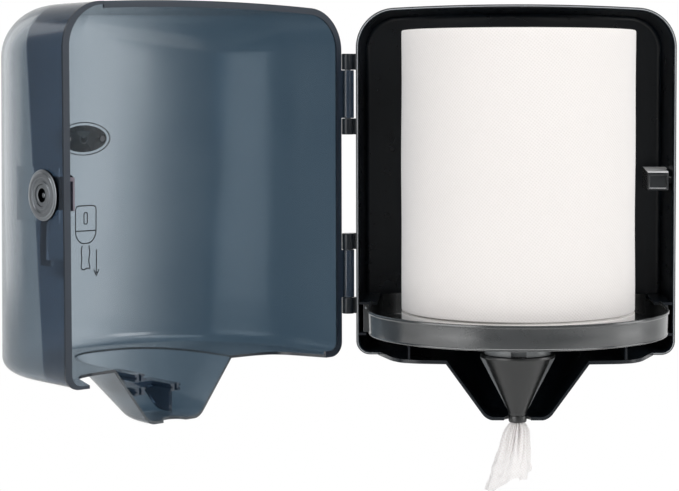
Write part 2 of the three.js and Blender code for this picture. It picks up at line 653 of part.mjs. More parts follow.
function doorShell() {
  const start = gap.doorEdge / 2;
  const outer = doorForm(0, start);
  const inner = doorForm(door.wall, -gap.overrun);
  const split = rimY - housing.tongueReach;
  const aheadOfSplit = block(-outline.halfWidth, outline.halfWidth, rimY - doorDeepest, split - start,
    spout.bottom - gap.overrun, outline.bottom + door.wall);
  const spoutOuter = spoutHalf(-1, 0, gap.overrun, outline.bottom + door.wall / 2).intersect(aheadOfSplit);
  const spoutInner = spoutHalf(-1, spout.wall, gap.overrun, outline.bottom + door.wall + gap.overrun);
  const opening = partingLine(start);
  const corner = outline.halfWidth - parting.corner + start;
  const tongueCut = prismZ([...opening, [-corner, rimY + gap.overrun], [corner, rimY + gap.overrun]],
    outline.bottom - gap.overrun, outline.bottom + door.bottomRound);
  const notch = rod('z', spout.notchRadius, spout.bottom - gap.overrun, spout.bottom + spout.wall * 2,
    0, split);
  const recess = cut(block(outline.halfWidth - door.bottomRound, outline.halfWidth + gap.overrun,
    rimY - thumb.to, rimY - thumb.from, thumb.low, thumb.high),
  block(0, outline.halfWidth - thumb.depth, rimY - doorDeepest, rimY, outline.bottom, outline.top));
  const badgeRecess = cut(ovalPrism(badge.rimWidth, badge.rimHeight, door.straight,
    doorDeepest + gap.overrun), doorForm(badge.recess, start));
  const pins = [-1, 1].map((side) => rod('y', badge.pinRadius + gap.touch,
    rimY - doorDeepest - gap.overrun, rimY - door.straight, side * badge.pinX, badge.z));
  const lockHole = rod('x', lock.wallHole, outline.halfWidth - 2 * door.wall, outline.halfWidth + gap.overrun,
    rimY - lock.fromRim, lock.z, segments.round);
  const hollow = cut(outer, inner, recess, badgeRecess);
  const body = cut(join(hollow, doorRim(outer), spoutOuter), spoutInner, tongueCut, notch, lockHole, ...pins);
  return cut(join(body, ...doorKnuckles()), ...pinBores(hinge.boreRadius), ...bracketScrewHoles());
}

// Badge: a plain oval plate on the door's front, held by two pins with star washers inside
function badgePlate() {
  const slab = cut(doorForm(-badge.proud, gap.doorEdge / 2), doorForm(badge.recess - gap.touch, 0));
  const oval = ovalPrism(badge.width, badge.height, door.straight, doorDeepest + badge.width);
  const plate = oval.intersect(slab);
  const boss = rod('y', badge.bossRadius, rimY - doorDepth(badge.z) - badge.proud - badge.bossProud,
    rimY - doorDepth(badge.z), 0, badge.z);
  const holes = [-1, 1].map((side) => rod('y', badge.pinRadius + gap.touch,
    rimY - doorDeepest - badge.width, rimY - door.straight, side * badge.pinX, badge.z));
  return cut(plate.add(boss), ...holes);
}

function badgeFace(x, inset) {
  const power = 2 / door.squareness;
  const half = outline.halfWidth - inset;
  const reach = doorDepth(badge.z) - door.straight - inset;
  const c = (Math.abs(x) / half) ** (1 / power);
  return door.straight + reach * Math.abs(Math.sin(Math.acos(c))) ** power;
}

function badgePin(side) {
  const x = side * badge.pinX;
  const outside = rimY - badgeFace(badge.pinX - badge.pinRadius, -badge.proud) - gap.touch;
  const inside = rimY - badgeFace(badge.pinX + badge.starRadius, door.wall) + 2 * gap.touch;
  const shank = rod('y', badge.pinRadius, outside, inside + badge.starThick, x, badge.z);
  const head = rod('y', badge.pinRadius + badge.sunk, outside - badge.starThick, outside, x, badge.z);
  const star = rod('y', badge.starRadius, inside, inside + badge.starThick, x, badge.z, segments.corner);
  return join(shank, head, star);
}

// Lock: a round plate on the free side, a barrel that the key turns, the hook and its clip
function lockPlate() {
  const face = outline.halfWidth - thumb.depth + gap.touch;
  const at = [rimY - lock.fromRim, lock.z];
  const disc = join(
    rod('x', lock.plateRadius, face, face + lock.plateThick - lock.ringStep, ...at, segments.round),
    rod('x', lock.plateRadius - lock.ringWidth, face, face + lock.plateThick, ...at, segments.round),
    rod('x', lock.spigotRadius, outline.halfWidth - door.wall - gap.touch, face + gap.touch, ...at,
      segments.round));
  const groove = cut(
    rod('x', lock.spigotRadius + lock.ringWidth, face + lock.plateThick - lock.ringStep,
      face + lock.plateThick + gap.overrun, ...at, segments.round),
    rod('x', lock.spigotRadius, face, face + lock.plateThick + gap.overrun, ...at, segments.round));
  return cut(disc, groove, rod('x', lock.bearing, outline.halfWidth - 2 * door.wall,
    face + lock.plateThick + gap.overrun, ...at, segments.round));
}

function lockBarrel() {
  const face = outline.halfWidth - thumb.depth + gap.touch + lock.plateThick - lock.barrelProud;
  const inner = hookFace + gap.touch;
  const end = bracketFace - 2 * gap.touch - clip.thick * 2;
  const at = [rimY - lock.fromRim, lock.z];
  const barrel = join(rod('x', lock.barrelRadius, inner, face, ...at, segments.round),
    rod('x', lock.spindleRadius, end, inner + gap.touch, ...at, segments.round));
  const key = cut(rod('x', lock.keyBore, face - lock.keyDepth, face + gap.overrun, ...at, segments.round),
    rod('x', lock.keyPost, face - lock.keyDepth - gap.overrun, face - lock.keyPostDrop, ...at));
  const clipX = bracketFace - gap.touch - clip.thick;
  const groove = cut(
    rod('x', lock.spindleRadius + gap.overrun, clipX, clipX + clip.thick, ...at, segments.round),
    rod('x', clip.grooveRadius, clipX, clipX + clip.thick, ...at, segments.round));
  return cut(barrel, key, groove);
}

// The hook lies along +Y when locked: its finger stands behind the catch's neck
function latchHook() {
  const pivot = [rimY - lock.fromRim, lock.z];
  const middle = (catchBlock.low + catchBlock.high) / 2;
  const neckBack = -catchBlock.front + catchBlock.neckFrom + catchBlock.neckDepth;
  const under = middle - catchBlock.neckHalf - hook.neckGap;
  const fingerY = neckBack + hook.neckGap;
  const endY = fingerY + hook.fingerThick;
  const low = under - 2 * hook.armHalf;
  const arm = prismX([
    [pivot[0], pivot[1] + hook.armHalf],
    [rimY - lock.fromRim / 2, pivot[1] + hook.armHalf - hook.armDrop / 2],
    [rimY, under], [fingerY, under], [fingerY, middle + hook.fingerHigh],
    [endY, middle + hook.fingerHigh - hook.neckGap], [endY, low],
    [rimY, low], [pivot[0], pivot[1] - hook.armHalf - hook.armDrop / 2],
  ], hookFace - hook.thick, hookFace);
  const eye = rod('x', hook.eyeRadius, hookFace - hook.thick, hookFace, ...pivot, segments.round);
  return cut(arm.add(eye), rod('x', lock.spindleRadius + gap.touch, hookFace - hook.thick - gap.overrun,
    hookFace + gap.overrun, ...pivot, segments.round));
}

function barrelClip() {
  const x1 = bracketFace - gap.touch - clip.fit / 2;
  const x0 = x1 - clip.thick + clip.fit;
  const at = [rimY - lock.fromRim, lock.z];
  const ring = cut(rod('x', clip.radius, x0, x1, ...at),
    rod('x', clip.grooveRadius + clip.fit, x0 - gap.overrun, x1 + gap.overrun, ...at));
  return cut(ring, block(x0 - gap.overrun, x1 + gap.overrun, at[0] - clip.mouth / 2, at[0] + clip.mouth / 2,
    at[1], at[1] + 2 * clip.radius));
}

// The bracket inside the door carries the barrel's end; the side towards the rim stays open
function lockBracket() {
  const { thick, low, high, from, to, flange } = bracket;
  const inside = bracketFace;
  const wallFace = outline.halfWidth - door.wall - gap.touch;
  const at = [rimY - lock.fromRim, lock.z];
  const plate = block(inside, inside + thick, rimY - to, rimY - from, low, high);
  const topFoot = block(inside, wallFace, rimY - to, rimY - from, high - flange, high);
  const rearFoot = block(inside, wallFace, rimY - to, rimY - to + flange, low, high);
  return cut(join(plate, topFoot, rearFoot), rod('x', lock.spindleBore, inside - gap.overrun,
    inside + thick + gap.overrun, ...at, segments.round), ...bracketScrewHoles());
}

// Two screws through the bracket's top foot into bosses on the door's wall
function screwPlaces() {
  return [0, 1].map((k) => [
    rimY - bracket.screwFromRim - k * bracket.screwSpacing, bracket.high - bracket.flange / 2]);
}
function bracketScrewHoles() {
  return screwPlaces().map((at) => rod('x', bracket.screwRadius / 2 + gap.touch, bracketFace - gap.overrun,
    outline.halfWidth - door.wall / 2, ...at));
}
function bracketScrew(at) {
  const shank = rod('x', bracket.screwRadius / 2, bracketFace - gap.touch,
    outline.halfWidth - door.wall / 2 - gap.touch, ...at);
  return shank.add(rod('x', bracket.screwHead, bracketFace - gap.touch - bracket.screwHeadThick,
    bracketFace - gap.touch, ...at));
}

// Clip in the door's spout: a fork below the funnel's flange with a second arm above its right
// prong, on a web that stands on the spout's floor and front
function spoutYoke() {
  const { halfWidth, innerHalf, from, crossFrom, to, high, thick, webX, webThick, webFrom } = yoke;
  const fork = cut(block(-halfWidth, halfWidth, rimY - to, rimY - from, high - thick, high),
    block(-innerHalf, innerHalf, rimY - crossFrom, rimY - from + gap.overrun, high - thick - gap.overrun,
      high + gap.overrun));
  const web = block(webX - webThick / 2, webX + webThick / 2, rimY - doorDeepest, rimY - webFrom,
    spout.bottom, high - thick / 2);
  const { armTo, armHigh, armThick, postFrom } = yoke;
  const arm = block(innerHalf, halfWidth, rimY - armTo, rimY - from, armHigh - armThick, armHigh);
  const post = block(innerHalf, halfWidth, rimY - armTo, rimY - postFrom, high - thick / 2, armHigh);
  const room = spoutHalf(-1, spout.wall + gap.touch, 0, outline.bottom);
  return join(fork, web, arm, post).intersect(room);
}

// Colours and finishes
const finish = (color, roughness, metalness = 0, opacity = 1) => new THREE.MeshStandardMaterial({
  color, roughness, metalness, opacity, transparent: opacity < 1 });
const blackPlastic = finish(0x17191b, 0.38);
const smokePlastic = finish(0x53677a, 0.16, 0, 0.7);
const greyPlastic = finish(0x4a4c4d, 0.4);
const darkPlastic = finish(0x2b2d2e, 0.45);
const steel = finish(0x9a9c9e, 0.3, 1);
const castMetal = finish(0x65696c, 0.42, 0.8);
const paper = finish(0xedebe8, 0.95);

function add(group, name, solid, material) {
  const mesh = new THREE.Mesh(geometryOf(solid), material);
  mesh.name = name;
  group.add(mesh);
}

const dispenser = new THREE.Group();
add(dispenser, 'back_housing', backHousing(), blackPlastic);
add(dispenser, 'latch_catch', latchCatch(), darkPlastic);
add(dispenser, 'hinge_pin_upper', hingePin(hinge.upperZ), steel);
add(dispenser, 'hinge_pin_lower', hingePin(hinge.lowerZ), steel);
add(dispenser, 'tray', trayBody(), greyPlastic);
add(dispenser, 'tray_stud_left', trayStud(-1), steel);
add(dispenser, 'tray_stud_right', trayStud(1), steel);
add(dispenser, 'funnel', funnelBody(), darkPlastic);
add(dispenser, 'funnel_collar', funnelCollar(), greyPlastic);
add(dispenser, 'nozzle_tip', nozzleTip(), darkPlastic);
add(dispenser, 'paper_roll', paperRoll(), paper);
add(dispenser, 'paper_tail', paperTail(), paper);

const swing = new THREE.Group();
swing.position.set(hingeX, rimY, 0);
swing.rotation.z = -door.openAngle * RAD;
const closedDoor = new THREE.Group();
closedDoor.position.set(-hingeX, -rimY, 0);
swing.add(closedDoor);
dispenser.add(swing);
add(closedDoor, 'door_shell', doorShell(), smokePlastic);
add(closedDoor, 'badge_plate', badgePlate(), darkPlastic);
add(closedDoor, 'badge_pin_left', badgePin(-1), steel);
add(closedDoor, 'badge_pin_right', badgePin(1), steel);
add(closedDoor, 'lock_plate', lockPlate(), castMetal);
add(closedDoor, 'lock_bracket', lockBracket(), steel);
screwPlaces().forEach((at, k) => add(closedDoor, `bracket_screw_${k + 1}`, bracketScrew(at), steel));
add(closedDoor, 'spout_yoke', spoutYoke(), darkPlastic);

// The key's turn: the hook hangs down when unlocked
const keyTurn = new THREE.Group();
keyTurn.position.set(0, rimY - lock.fromRim, lock.z);
keyTurn.rotation.x = -lock.unlockTurn * RAD;
const lockedHook = new THREE.Group();
lockedHook.position.set(0, -rimY + lock.fromRim, -lock.z);
keyTurn.add(lockedHook);
closedDoor.add(keyTurn);
add(lockedHook, 'lock_barrel', lockBarrel(), castMetal);
add(lockedHook, 'latch_hook', latchHook(), steel);
add(lockedHook, 'barrel_clip', barrelClip(), steel);

export default dispenser;
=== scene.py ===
import math
import bmesh
import bpy
import numpy as np
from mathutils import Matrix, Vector


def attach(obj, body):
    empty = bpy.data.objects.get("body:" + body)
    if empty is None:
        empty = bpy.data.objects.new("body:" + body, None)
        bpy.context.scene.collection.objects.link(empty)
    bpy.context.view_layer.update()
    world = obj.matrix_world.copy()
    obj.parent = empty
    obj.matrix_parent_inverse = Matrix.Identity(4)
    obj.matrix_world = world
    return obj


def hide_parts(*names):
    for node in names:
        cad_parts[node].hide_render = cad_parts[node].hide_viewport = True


# Centrefeed roll dispenser with its door open. The pieces below are worked out in millimetres in the
# part's own frame: X to the right, Y into the wall, Z up. Door pieces are worked out with the door
# closed and then swung open about the hinge.
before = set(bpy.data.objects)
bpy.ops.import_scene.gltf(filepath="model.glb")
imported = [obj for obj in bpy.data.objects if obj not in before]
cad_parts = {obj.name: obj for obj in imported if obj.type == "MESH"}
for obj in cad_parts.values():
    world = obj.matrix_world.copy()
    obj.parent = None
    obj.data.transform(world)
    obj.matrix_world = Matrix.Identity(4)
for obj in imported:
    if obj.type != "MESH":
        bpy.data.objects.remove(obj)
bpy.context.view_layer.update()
MM = 0.001

# The outline that housing and door share
HALF, TOP, BOTTOM, CROWN = 136.5, 149.8, -149.7, 1880.0
TOP_CORNER, BOTTOM_CORNER = 34.0, 12.0
RIM, REACH = -78.0, 54.0
SPLIT = RIM - REACH
EDGE, OVER = 0.4, 2.0
# The door
DEPTH_TOP, DEPTH_BOTTOM, STRAIGHT, DOOR_POWER = 184.0, 190.5, 54.0, 2 / 2.12
TOP_DROP, ROOF_FALL, BOTTOM_ROUND, WALL = 1.6, 5.2, 12.0, 2.5
HINGE_X, OPEN = -143.2, 135.6
# The free side is tinted darker from the rim to BAND in front of it at the bottom, and further upwards
BAND, BAND_LEAN = 36.0, 0.077
# The hinge: tops of the two pins, half a knuckle of the housing, the door's knuckle between two
PIN_TOPS, KNUCKLE_HALF, DOOR_KNUCKLE = (107.8, -45.2), 6.8, 40.6
# The spout, and the round cut in its lower edge that the nozzle stands in
SPOUT_LOW, SPOUT_MOUTH, NOTCH_RADIUS = -196.4, -146.8, 11.2
# The lock's axis, and the two screws of its bracket
LOCK_Y, LOCK_Z = RIM - 33.5, -2.7
SCREW_PLACES = [(RIM - 9, 10.3), (RIM - 42, 10.3)]
# The badge and its two pins
BADGE_Z, PIN_X = 34.5, 17.5
# The tray's ledges: height of the top face and how far each stands out; the studs in its runners
LEDGES = ((-104.4, 15.0), (-130.8, 5.8))
STUD_X, STUD_Z = 127.9, -109.3
# The paper roll
ROLL_LOW, ROLL_TOP, ROLL_CORE, CREASE_Z = -120.9, 126.0, 27.0, -104.0


def added(name, data):
    """A new object in the scene."""
    made = bpy.data.objects.new(name, data)
    bpy.context.scene.collection.objects.link(made)
    return made


# ---------------------------------------------------------------- camera
def set_camera():
    """The photograph's view: nearly square on, from the left of the housing, a little above its middle."""
    lens = bpy.data.cameras.new("photo_camera")
    lens.sensor_fit = "HORIZONTAL"
    lens.sensor_width = 36.0
    lens.lens = 1903.13 / 679 * 36.0
    lens.shift_x, lens.shift_y = -0.13, -0.10
    camera = added("photo_camera", lens)
    camera.location = (-0.05429, -1.69802, 0.08331)
    camera.rotation_euler = (math.pi / 2 - 0.04989, 0, 0.01285)
    bpy.context.scene.camera = camera


set_camera()


# ---------------------------------------------------------------- places
def swung(points):
    """Turns points of the closed door about the upright hinge axis to where the open door stands."""
    p = np.asarray(points, float)
    c, s = math.cos(math.radians(OPEN)), math.sin(math.radians(OPEN))
    x, y = p[..., 0] - HINGE_X, p[..., 1] - RIM
    return np.stack([HINGE_X + x * c + y * s, RIM - x * s + y * c, p[..., 2]], -1)


def unlocked(points):
    """Turns points of the locked barrel a quarter turn about the lock's axis, then swings them open."""
    p = np.asarray(points, float)
    y, z = p[..., 1] - LOCK_Y, p[..., 2] - LOCK_Z
    return swung(np.stack([p[..., 0], LOCK_Y + z, LOCK_Z - y], -1))


# ---------------------------------------------------------------- skins: (points, faces)
def quads(rows, cols, wrap=True):
    """Four-sided faces of a grid stored row after row; wrap joins its last column to its first."""
    k = np.arange(cols if wrap else cols - 1)
    n = (k + 1) % cols
    r = np.arange(rows - 1)[:, None] * cols
    return np.stack([r + k, r + n, r + cols + n, r + cols + k], -1).reshape(-1, 4)


def skin(rings, caps=(True, True)):
    """A closed skin through rings of equal length, with a flat face over each end that asks for one."""
    rings = np.asarray(rings, float)
    rows, cols = rings.shape[:2]
    faces = quads(rows, cols).tolist()
    if caps[0]:
        faces.append(list(range(cols))[::-1])
    if caps[1]:
        faces.append(list(range((rows - 1) * cols, rows * cols)))
    return rings.reshape(-1, 3), faces


def arc(cx, cy, radius, start, end, steps):
    """Points of an arc about (cx, cy) from angle start to angle end."""
    t = np.linspace(start, end, steps + 1)
    return np.stack([cx + radius * np.cos(t), cy + radius * np.sin(t)], -1)


def softened(line, radius, steps=4, closed=True):
    """Rounds a line's corners: each corner P becomes the curve (1-t)^2 A + 2t(1-t) P + t^2 B between
    points A and B that lie the radius, or 0.45 of the side if that is less, before and after it."""
    p = np.asarray(line, float)
    before, after = np.roll(p, 1, 0) - p, np.roll(p, -1, 0) - p
    lb, la = np.linalg.norm(before, axis=1), np.linalg.norm(after, axis=1)
    a = p + before * (np.minimum(radius, 0.45 * lb) / np.maximum(lb, 1e-9))[:, None]
    b = p + after * (np.minimum(radius, 0.45 * la) / np.maximum(la, 1e-9))[:, None]
    if not closed:
        a[0] = b[0] = p[0]
        a[-1] = b[-1] = p[-1]
    t = np.linspace(0, 1, steps + 1)[None, :, None]
    curve = (1 - t) ** 2 * a[:, None] + 2 * t * (1 - t) * p[:, None] + t ** 2 * b[:, None]
    return curve.reshape(-1, 2)


def turned(profile, centre, axis="z", steps=96, closed=True):
    """Carries a profile of (radius, place along the axis) once round an axis through centre. A closed
    profile gives a ring; an open one begins and ends on the axis."""
    p = np.asarray(profile, float)
    t = np.linspace(0, 2 * np.pi, steps, endpoint=False)
    u, v = p[:, :1] * np.cos(t), p[:, :1] * np.sin(t)
    w = np.broadcast_to(p[:, 1:], u.shape)
    order = {"z": (u + centre[0], v + centre[1], w), "x": (w, u + centre[0], v + centre[1]),
             "y": (u + centre[0], w, v + centre[1])}[axis]
    rings = np.stack(order, -1)
    if closed:
        rings = np.concatenate([rings, rings[:1]])
    return skin(rings, (False, False))


def rod(radius, low, high, centre, axis="z", steps=48, soft=0.3):
    """A turned rod with softened ends."""
    line = softened([(0, low), (radius, low), (radius, high), (0, high)], soft, 4, closed=False)
    return turned(line, centre, axis, steps, closed=False)


def bore(radius, low, high, centre, axis="z", steps=96):
    """A plain cylinder to cut with."""
    line = [(0, low), (radius, low), (radius, high), (0, high)]
    return turned(line, centre, axis, steps, closed=False)


def prism(outline, low, high, axis="z"):
    """A flat outline carried from low to high along an axis. The outline's places are (x, y) along z,
    (x, z) along y and (y, z) along x."""
    o = np.asarray(outline, float)
    u, v = o[:, 0], o[:, 1]
    rows = []
    for w in (low, high):
        h = np.full(len(o), float(w))
        rows.append(np.stack({"z": (u, v, h), "y": (u, h, v), "x": (h, u, v)}[axis], -1))
    return skin(rows)


def block(x0, x1, y0, y1, z0, z1, soft=0.0):
    """A box; soft rounds its upright edges."""
    corners = [(x0, y0), (x1, y0), (x1, y1), (x0, y1)]
    return prism(softened(corners, soft, 3) if soft else corners, z0, z1)


# ---------------------------------------------------------------- pieces
def mesh_of(name, skins):
    """One mesh of closed skins, doubles merged, no face without area, and every skin facing out."""
    points, faces, base = [], [], 0
    for p, f in skins:
        points.append(p)
        faces += [[i + base for i in face] for face in f]
        base += len(p)
    mesh = bpy.data.meshes.new(name)
    mesh.from_pydata((np.concatenate(points) * MM).tolist(), [], faces)
    work = bmesh.new()
    work.from_mesh(mesh)
    bmesh.ops.remove_doubles(work, verts=work.verts, dist=1e-7)
    bmesh.ops.dissolve_degenerate(work, edges=work.edges, dist=1e-8)
    bmesh.ops.recalc_face_normals(work, faces=work.faces)
    work.to_mesh(mesh)
    work.free()
    return mesh


def loose(name, skins):
    """An object of skins that isn't finished yet."""
    return added(name, mesh_of(name, skins))


def carved(target, operation, *tools):
    """Joins the target with each tool, a skin, or cuts it by each, or to it."""
    group = bpy.data.collections.new("tools")
    bpy.context.scene.collection.children.link(group)
    helpers = []
    for k, tool in enumerate(tools):
        helper = bpy.data.objects.new(f"tool_{k}", mesh_of(f"tool_{k}", [tool]))
        group.objects.link(helper)
        helpers.append(helper)
    step = target.modifiers.new("carve", "BOOLEAN")
    step.operation = operation
    step.solver = "EXACT"
    step.operand_type = "COLLECTION"
    step.collection = group
    shape = target.evaluated_get(bpy.context.evaluated_depsgraph_get())
    mesh = bpy.data.meshes.new_from_object(shape)
    target.modifiers.clear()
    target.data = mesh
    for helper in helpers:
        bpy.data.objects.remove(helper)
    bpy.data.collections.remove(group)


def values_of(items, what, width=1, kind=np.float32):
    """One value, or a row of width values, of each of a mesh's vertices, faces or corners of faces."""
    values = np.empty(len(items) * width, kind)
    items.foreach_get(what, values)
    return values.reshape(-1, width) if width > 1 else values


def placed(target, place):
    """Moves a mesh's points by one of the places above."""
    moved = place(values_of(target.data.vertices, "co", 3).astype(float) / MM) * MM
    target.data.vertices.foreach_set("co", moved.astype(np.float32).ravel())
    target.data.update()


def finished(target, body, material, nodes=(), angle=32, bevel=0.0, edge_material=-1):
    """Gives a piece its softened edges, shading, material and body, and hides the CAD nodes it stands for.
    edge_material is the number of the material that the softened edges take, or -1 for that of the faces
    beside them."""
    if bevel:
        edge = target.modifiers.new("softened_edges", "BEVEL")
        edge.width = bevel * MM
        edge.segments = 2
        edge.limit_method = "ANGLE"
        edge.angle_limit = math.radians(38)
        edge.use_clamp_overlap = True
        edge.harden_normals = False
        edge.material = edge_material
    target.data.materials.clear()
    for m in material if isinstance(material, (list, tuple)) else [material]:
        target.data.materials.append(m)
    target.data.shade_smooth()
    target.data.set_sharp_from_angle(angle=math.radians(angle))
    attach(target, body)
    if nodes:
        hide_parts(*nodes)
    return target


def face_values(target, what):
    """Each face's centre, in mm, or its normal."""
    return values_of(target.data.polygons, what, 3).T / (MM if what == "center" else 1.0)


def painted(target, number):
    """Gives each face the material of its number: 0 or False is the piece's first, 1 or True its second."""
    target.data.polygons.foreach_set("material_index", np.asarray(number).astype(np.int32))
    target.data.update()


def refined(cad, name, body, material, bevel):
    """A copy of a CAD node with its doubles merged, its flat faces whole again and its edges rounded."""
    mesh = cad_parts[cad].data.copy()
    made = added(name, mesh)
    work = bmesh.new()
    work.from_mesh(mesh)
    bmesh.ops.remove_doubles(work, verts=work.verts, dist=1e-6)
    bmesh.ops.dissolve_limit(work, angle_limit=math.radians(0.6), verts=work.verts, edges=work.edges)
    work.to_mesh(mesh)
    work.free()
    return finished(made, body, material, (cad,), bevel=bevel)


# ---------------------------------------------------------------- materials
def linear(code):
    """An sRGB hex colour as the linear values that a shader takes."""
    c = np.array([int(code[i:i + 2], 16) / 255 for i in (1, 3, 5)])
    c = np.where(c <= 0.04045, c / 12.92, ((c + 0.055) / 1.055) ** 2.4)
    return (*c, 1.0)


def node(tree, kind, values=None, links=None, **settings):
    """Adds a node with its settings, its sockets' values and the sockets that feed it."""
    made = tree.nodes.new("ShaderNode" + kind)
    for key, value in settings.items():
        setattr(made, key, value)
    for key, value in (values or {}).items():
        made.inputs[key].default_value = value
    for key, source in (links or {}).items():
        tree.links.new(source, made.inputs[key])
    return made


def blank(name):
    """A new material with only its output node."""
    made = bpy.data.materials.new(name)
    made.use_nodes = True
    made.node_tree.nodes.clear()
    return made, made.node_tree


def coloured(made, values, dark, light, share, height, strength, depth_mm, rough=None):
    """Ends a material: its colour runs from dark to light with share, and so does its roughness where rough
    gives both ends; height is a relief depth_mm deep."""
    tree = made.node_tree
    tone = node(tree, "MixRGB", {1: linear(dark), 2: linear(light)}, {0: share})
    bump = node(tree, "Bump", {"Strength": strength, "Distance": depth_mm * MM}, {"Height": height})
    links = {"Base Color": tone.outputs[0], "Normal": bump.outputs[0]}
    if rough:
        span = node(tree, "MapRange", {"To Min": rough[0], "To Max": rough[1]}, {"Value": share})
        links["Roughness"] = span.outputs[0]
    shader = node(tree, "BsdfPrincipled", values, links)
    node(tree, "OutputMaterial", links={"Surface": shader.outputs[0]})
    return made


def moulded(name, dark, light, roughness, grain_mm, depth_mm, spread=0.06, values=None):
    """Injection-moulded plastic: a colour that drifts between two tones over 14 mm, a roughness that
    varies by spread, and a fine spark-eroded grain grain_mm wide and depth_mm deep."""
    made, tree = blank(name)
    place = node(tree, "TexCoord").outputs["Object"]
    drift = node(tree, "TexNoise", {"Scale": 1 / (14 * MM), "Detail": 3.0}, {"Vector": place})
    grain = node(tree, "TexNoise", {"Scale": 1 / (grain_mm * MM), "Detail": 2.0}, {"Vector": place})
    return coloured(made, values, dark, light, drift.outputs["Fac"], grain.outputs["Fac"], 0.6, depth_mm,
                    (roughness - spread, roughness + spread))


def metal(name, dark, light, roughness, streak_mm, stretch, depth_mm):
    """Metal: a colour that drifts a little, and marks streak_mm wide drawn out by stretch along Z."""
    made, tree = blank(name)
    place = node(tree, "TexCoord").outputs["Object"]
    turn = node(tree, "Mapping", {"Scale": (1, 1, 1 / stretch)}, {"Vector": place})
    marks = node(tree, "TexNoise", {"Scale": 1 / (streak_mm * MM), "Detail": 4.0},
                 {"Vector": turn.outputs[0]})
    share = marks.outputs["Fac"]
    return coloured(made, {"Metallic": 1.0}, dark, light, share, share, 0.5, depth_mm,
                    (roughness - 0.08, roughness + 0.1))


def embossed_paper(name, light, shade, spacing_mm, depth_mm):
    """Creped tissue: slanting rows of embossed dots spacing_mm apart on the piece's own map in metres,
    over a fine crepe that runs round the roll. The dots are drawn a little coarser than the real ones
    so that they show."""
    made, tree = blank(name)
    flat = node(tree, "UVMap", uv_map="metres").outputs[0]
    turn = node(tree, "Mapping", {"Rotation": (0, 0, math.radians(38))}, {"Vector": flat})
    dots = node(tree, "TexVoronoi", {"Scale": 1 / (spacing_mm * MM), "Randomness": 0.12},
                {"Vector": turn.outputs[0]}, voronoi_dimensions="2D")
    dent = node(tree, "MapRange", {"From Min": 0.12, "From Max": 0.5}, {"Value": dots.outputs["Distance"]})
    crepe = node(tree, "TexNoise", {"Scale": 1 / (0.9 * MM), "Detail": 3.0}, {"Vector": flat})
    sag = node(tree, "TexNoise", {"Scale": 1 / (26 * MM), "Detail": 2.0}, {"Vector": flat})
    height = node(tree, "Math", {1: 0.25}, {0: crepe.outputs["Fac"], 2: dent.outputs[0]},
                  operation="MULTIPLY_ADD")
    waves = node(tree, "Math", {1: 3.0}, {0: sag.outputs["Fac"], 2: height.outputs[0]},
                 operation="MULTIPLY_ADD")
    # The dots take the shade colour: painted shade in the dents
    return coloured(made, {"Roughness": 0.95, "Sheen Weight": 0.6}, shade, light, dent.outputs[0],
                    waves.outputs[0], 0.7, depth_mm)


def wound_edge(name):
    """The roll's cut ends: hundreds of paper edges as rings about the roll's axis. The rings are drawn
    1.1 mm apart, coarser than the real sheets, so that they show."""
    made, tree = blank(name)
    place = node(tree, "TexCoord").outputs["Object"]
    centre = node(tree, "Mapping", {"Location": (0, -SPLIT * MM, 0)}, {"Vector": place})
    rings = node(tree, "TexWave", {"Scale": 1 / (20 * 1.1 * MM), "Distortion": 1.6, "Detail": 2.0,
                                   "Detail Scale": 0.4}, {"Vector": centre.outputs[0]},
                 wave_type="RINGS", rings_direction="Z")
    share = rings.outputs["Fac"]
    return coloured(made, {"Roughness": 0.95}, "#CFCBC7", "#EFEDEA", share, share, 0.6, 0.25)


def smoke_plastic(name, dark, light, roughness, clear):
    """Smoke-tinted clear styrene, injection moulded and polished: a blue-grey tint that lets part of the
    light through, a smooth skin and faint flow waves."""
    made, tree = blank(name)
    place = node(tree, "TexCoord").outputs["Object"]
    flow = node(tree, "TexNoise", {"Scale": 1 / (60 * MM), "Detail": 2.0}, {"Vector": place})
    share = flow.outputs["Fac"]
    return coloured(made, {"Transmission Weight": clear, "IOR": 1.57}, dark, light, share, share, 0.1, 0.4,
                    (roughness - 0.02, roughness + 0.03))


# Back housing: black ABS with a fine eroded grain and a low gloss; its softened edges and the rim's crest
# take paler greys as painted highlights
BLACK = moulded("black_abs_moulded", "#13181E", "#192027", 0.28, 0.5, 0.005, spread=0.02)
BLACK_EDGE = moulded("black_abs_painted_edge_highlight", "#6C7074", "#787C80", 0.25, 0.5, 0.006)
BLACK_RIM = moulded("black_abs_rim_painted_highlight", "#A2A6AA", "#AEB2B5", 0.2, 0.6, 0.005)
# Door: smoke-tinted clear styrene; its thick places and its rim face, where the tint adds up; a darker band
# on the free side; and dark lines on its cut edges, painted shade
SMOKE = smoke_plastic("smoke_styrene_polished", "#B7C4CE", "#C1CDD5", 0.2, 0.94)
SMOKE_SIDE = smoke_plastic("smoke_styrene_side", "#5C6F84", "#66798E", 0.12, 0.94)
SMOKE_THICK = smoke_plastic("smoke_styrene_thick", "#43566B", "#4D6076", 0.1, 0.6)
SMOKE_LINE = smoke_plastic("smoke_styrene_edge_painted_shade", "#16202A", "#1D2833", 0.2, 0.2)
SMOKE_RIM = smoke_plastic("smoke_styrene_rim_dull", "#16283C", "#1E3246", 0.5, 0.5)
# Tray: dark grey ABS with a satin skin
GREY = moulded("grey_abs_satin", "#313334", "#393B3C", 0.22, 0.6, 0.006,
               values={"Specular IOR Level": 1.0, "Coat Weight": 0.6, "Coat Roughness": 0.15})
# Funnel's collar, badge's ring: a lighter grey, on the collar partly painted light against the tray's shadow;
# on the funnel's fins a painted highlight
COLLAR = moulded("grey_abs_collar_and_fin_highlight", "#7F8284", "#8A8D8F", 0.25, 0.6, 0.006)
# Funnel and nozzle: dark grey polypropylene, a little waxy
DARK = moulded("dark_polypropylene", "#191A1A", "#202121", 0.3, 0.5, 0.01, values={"Specular IOR Level": 0.8})
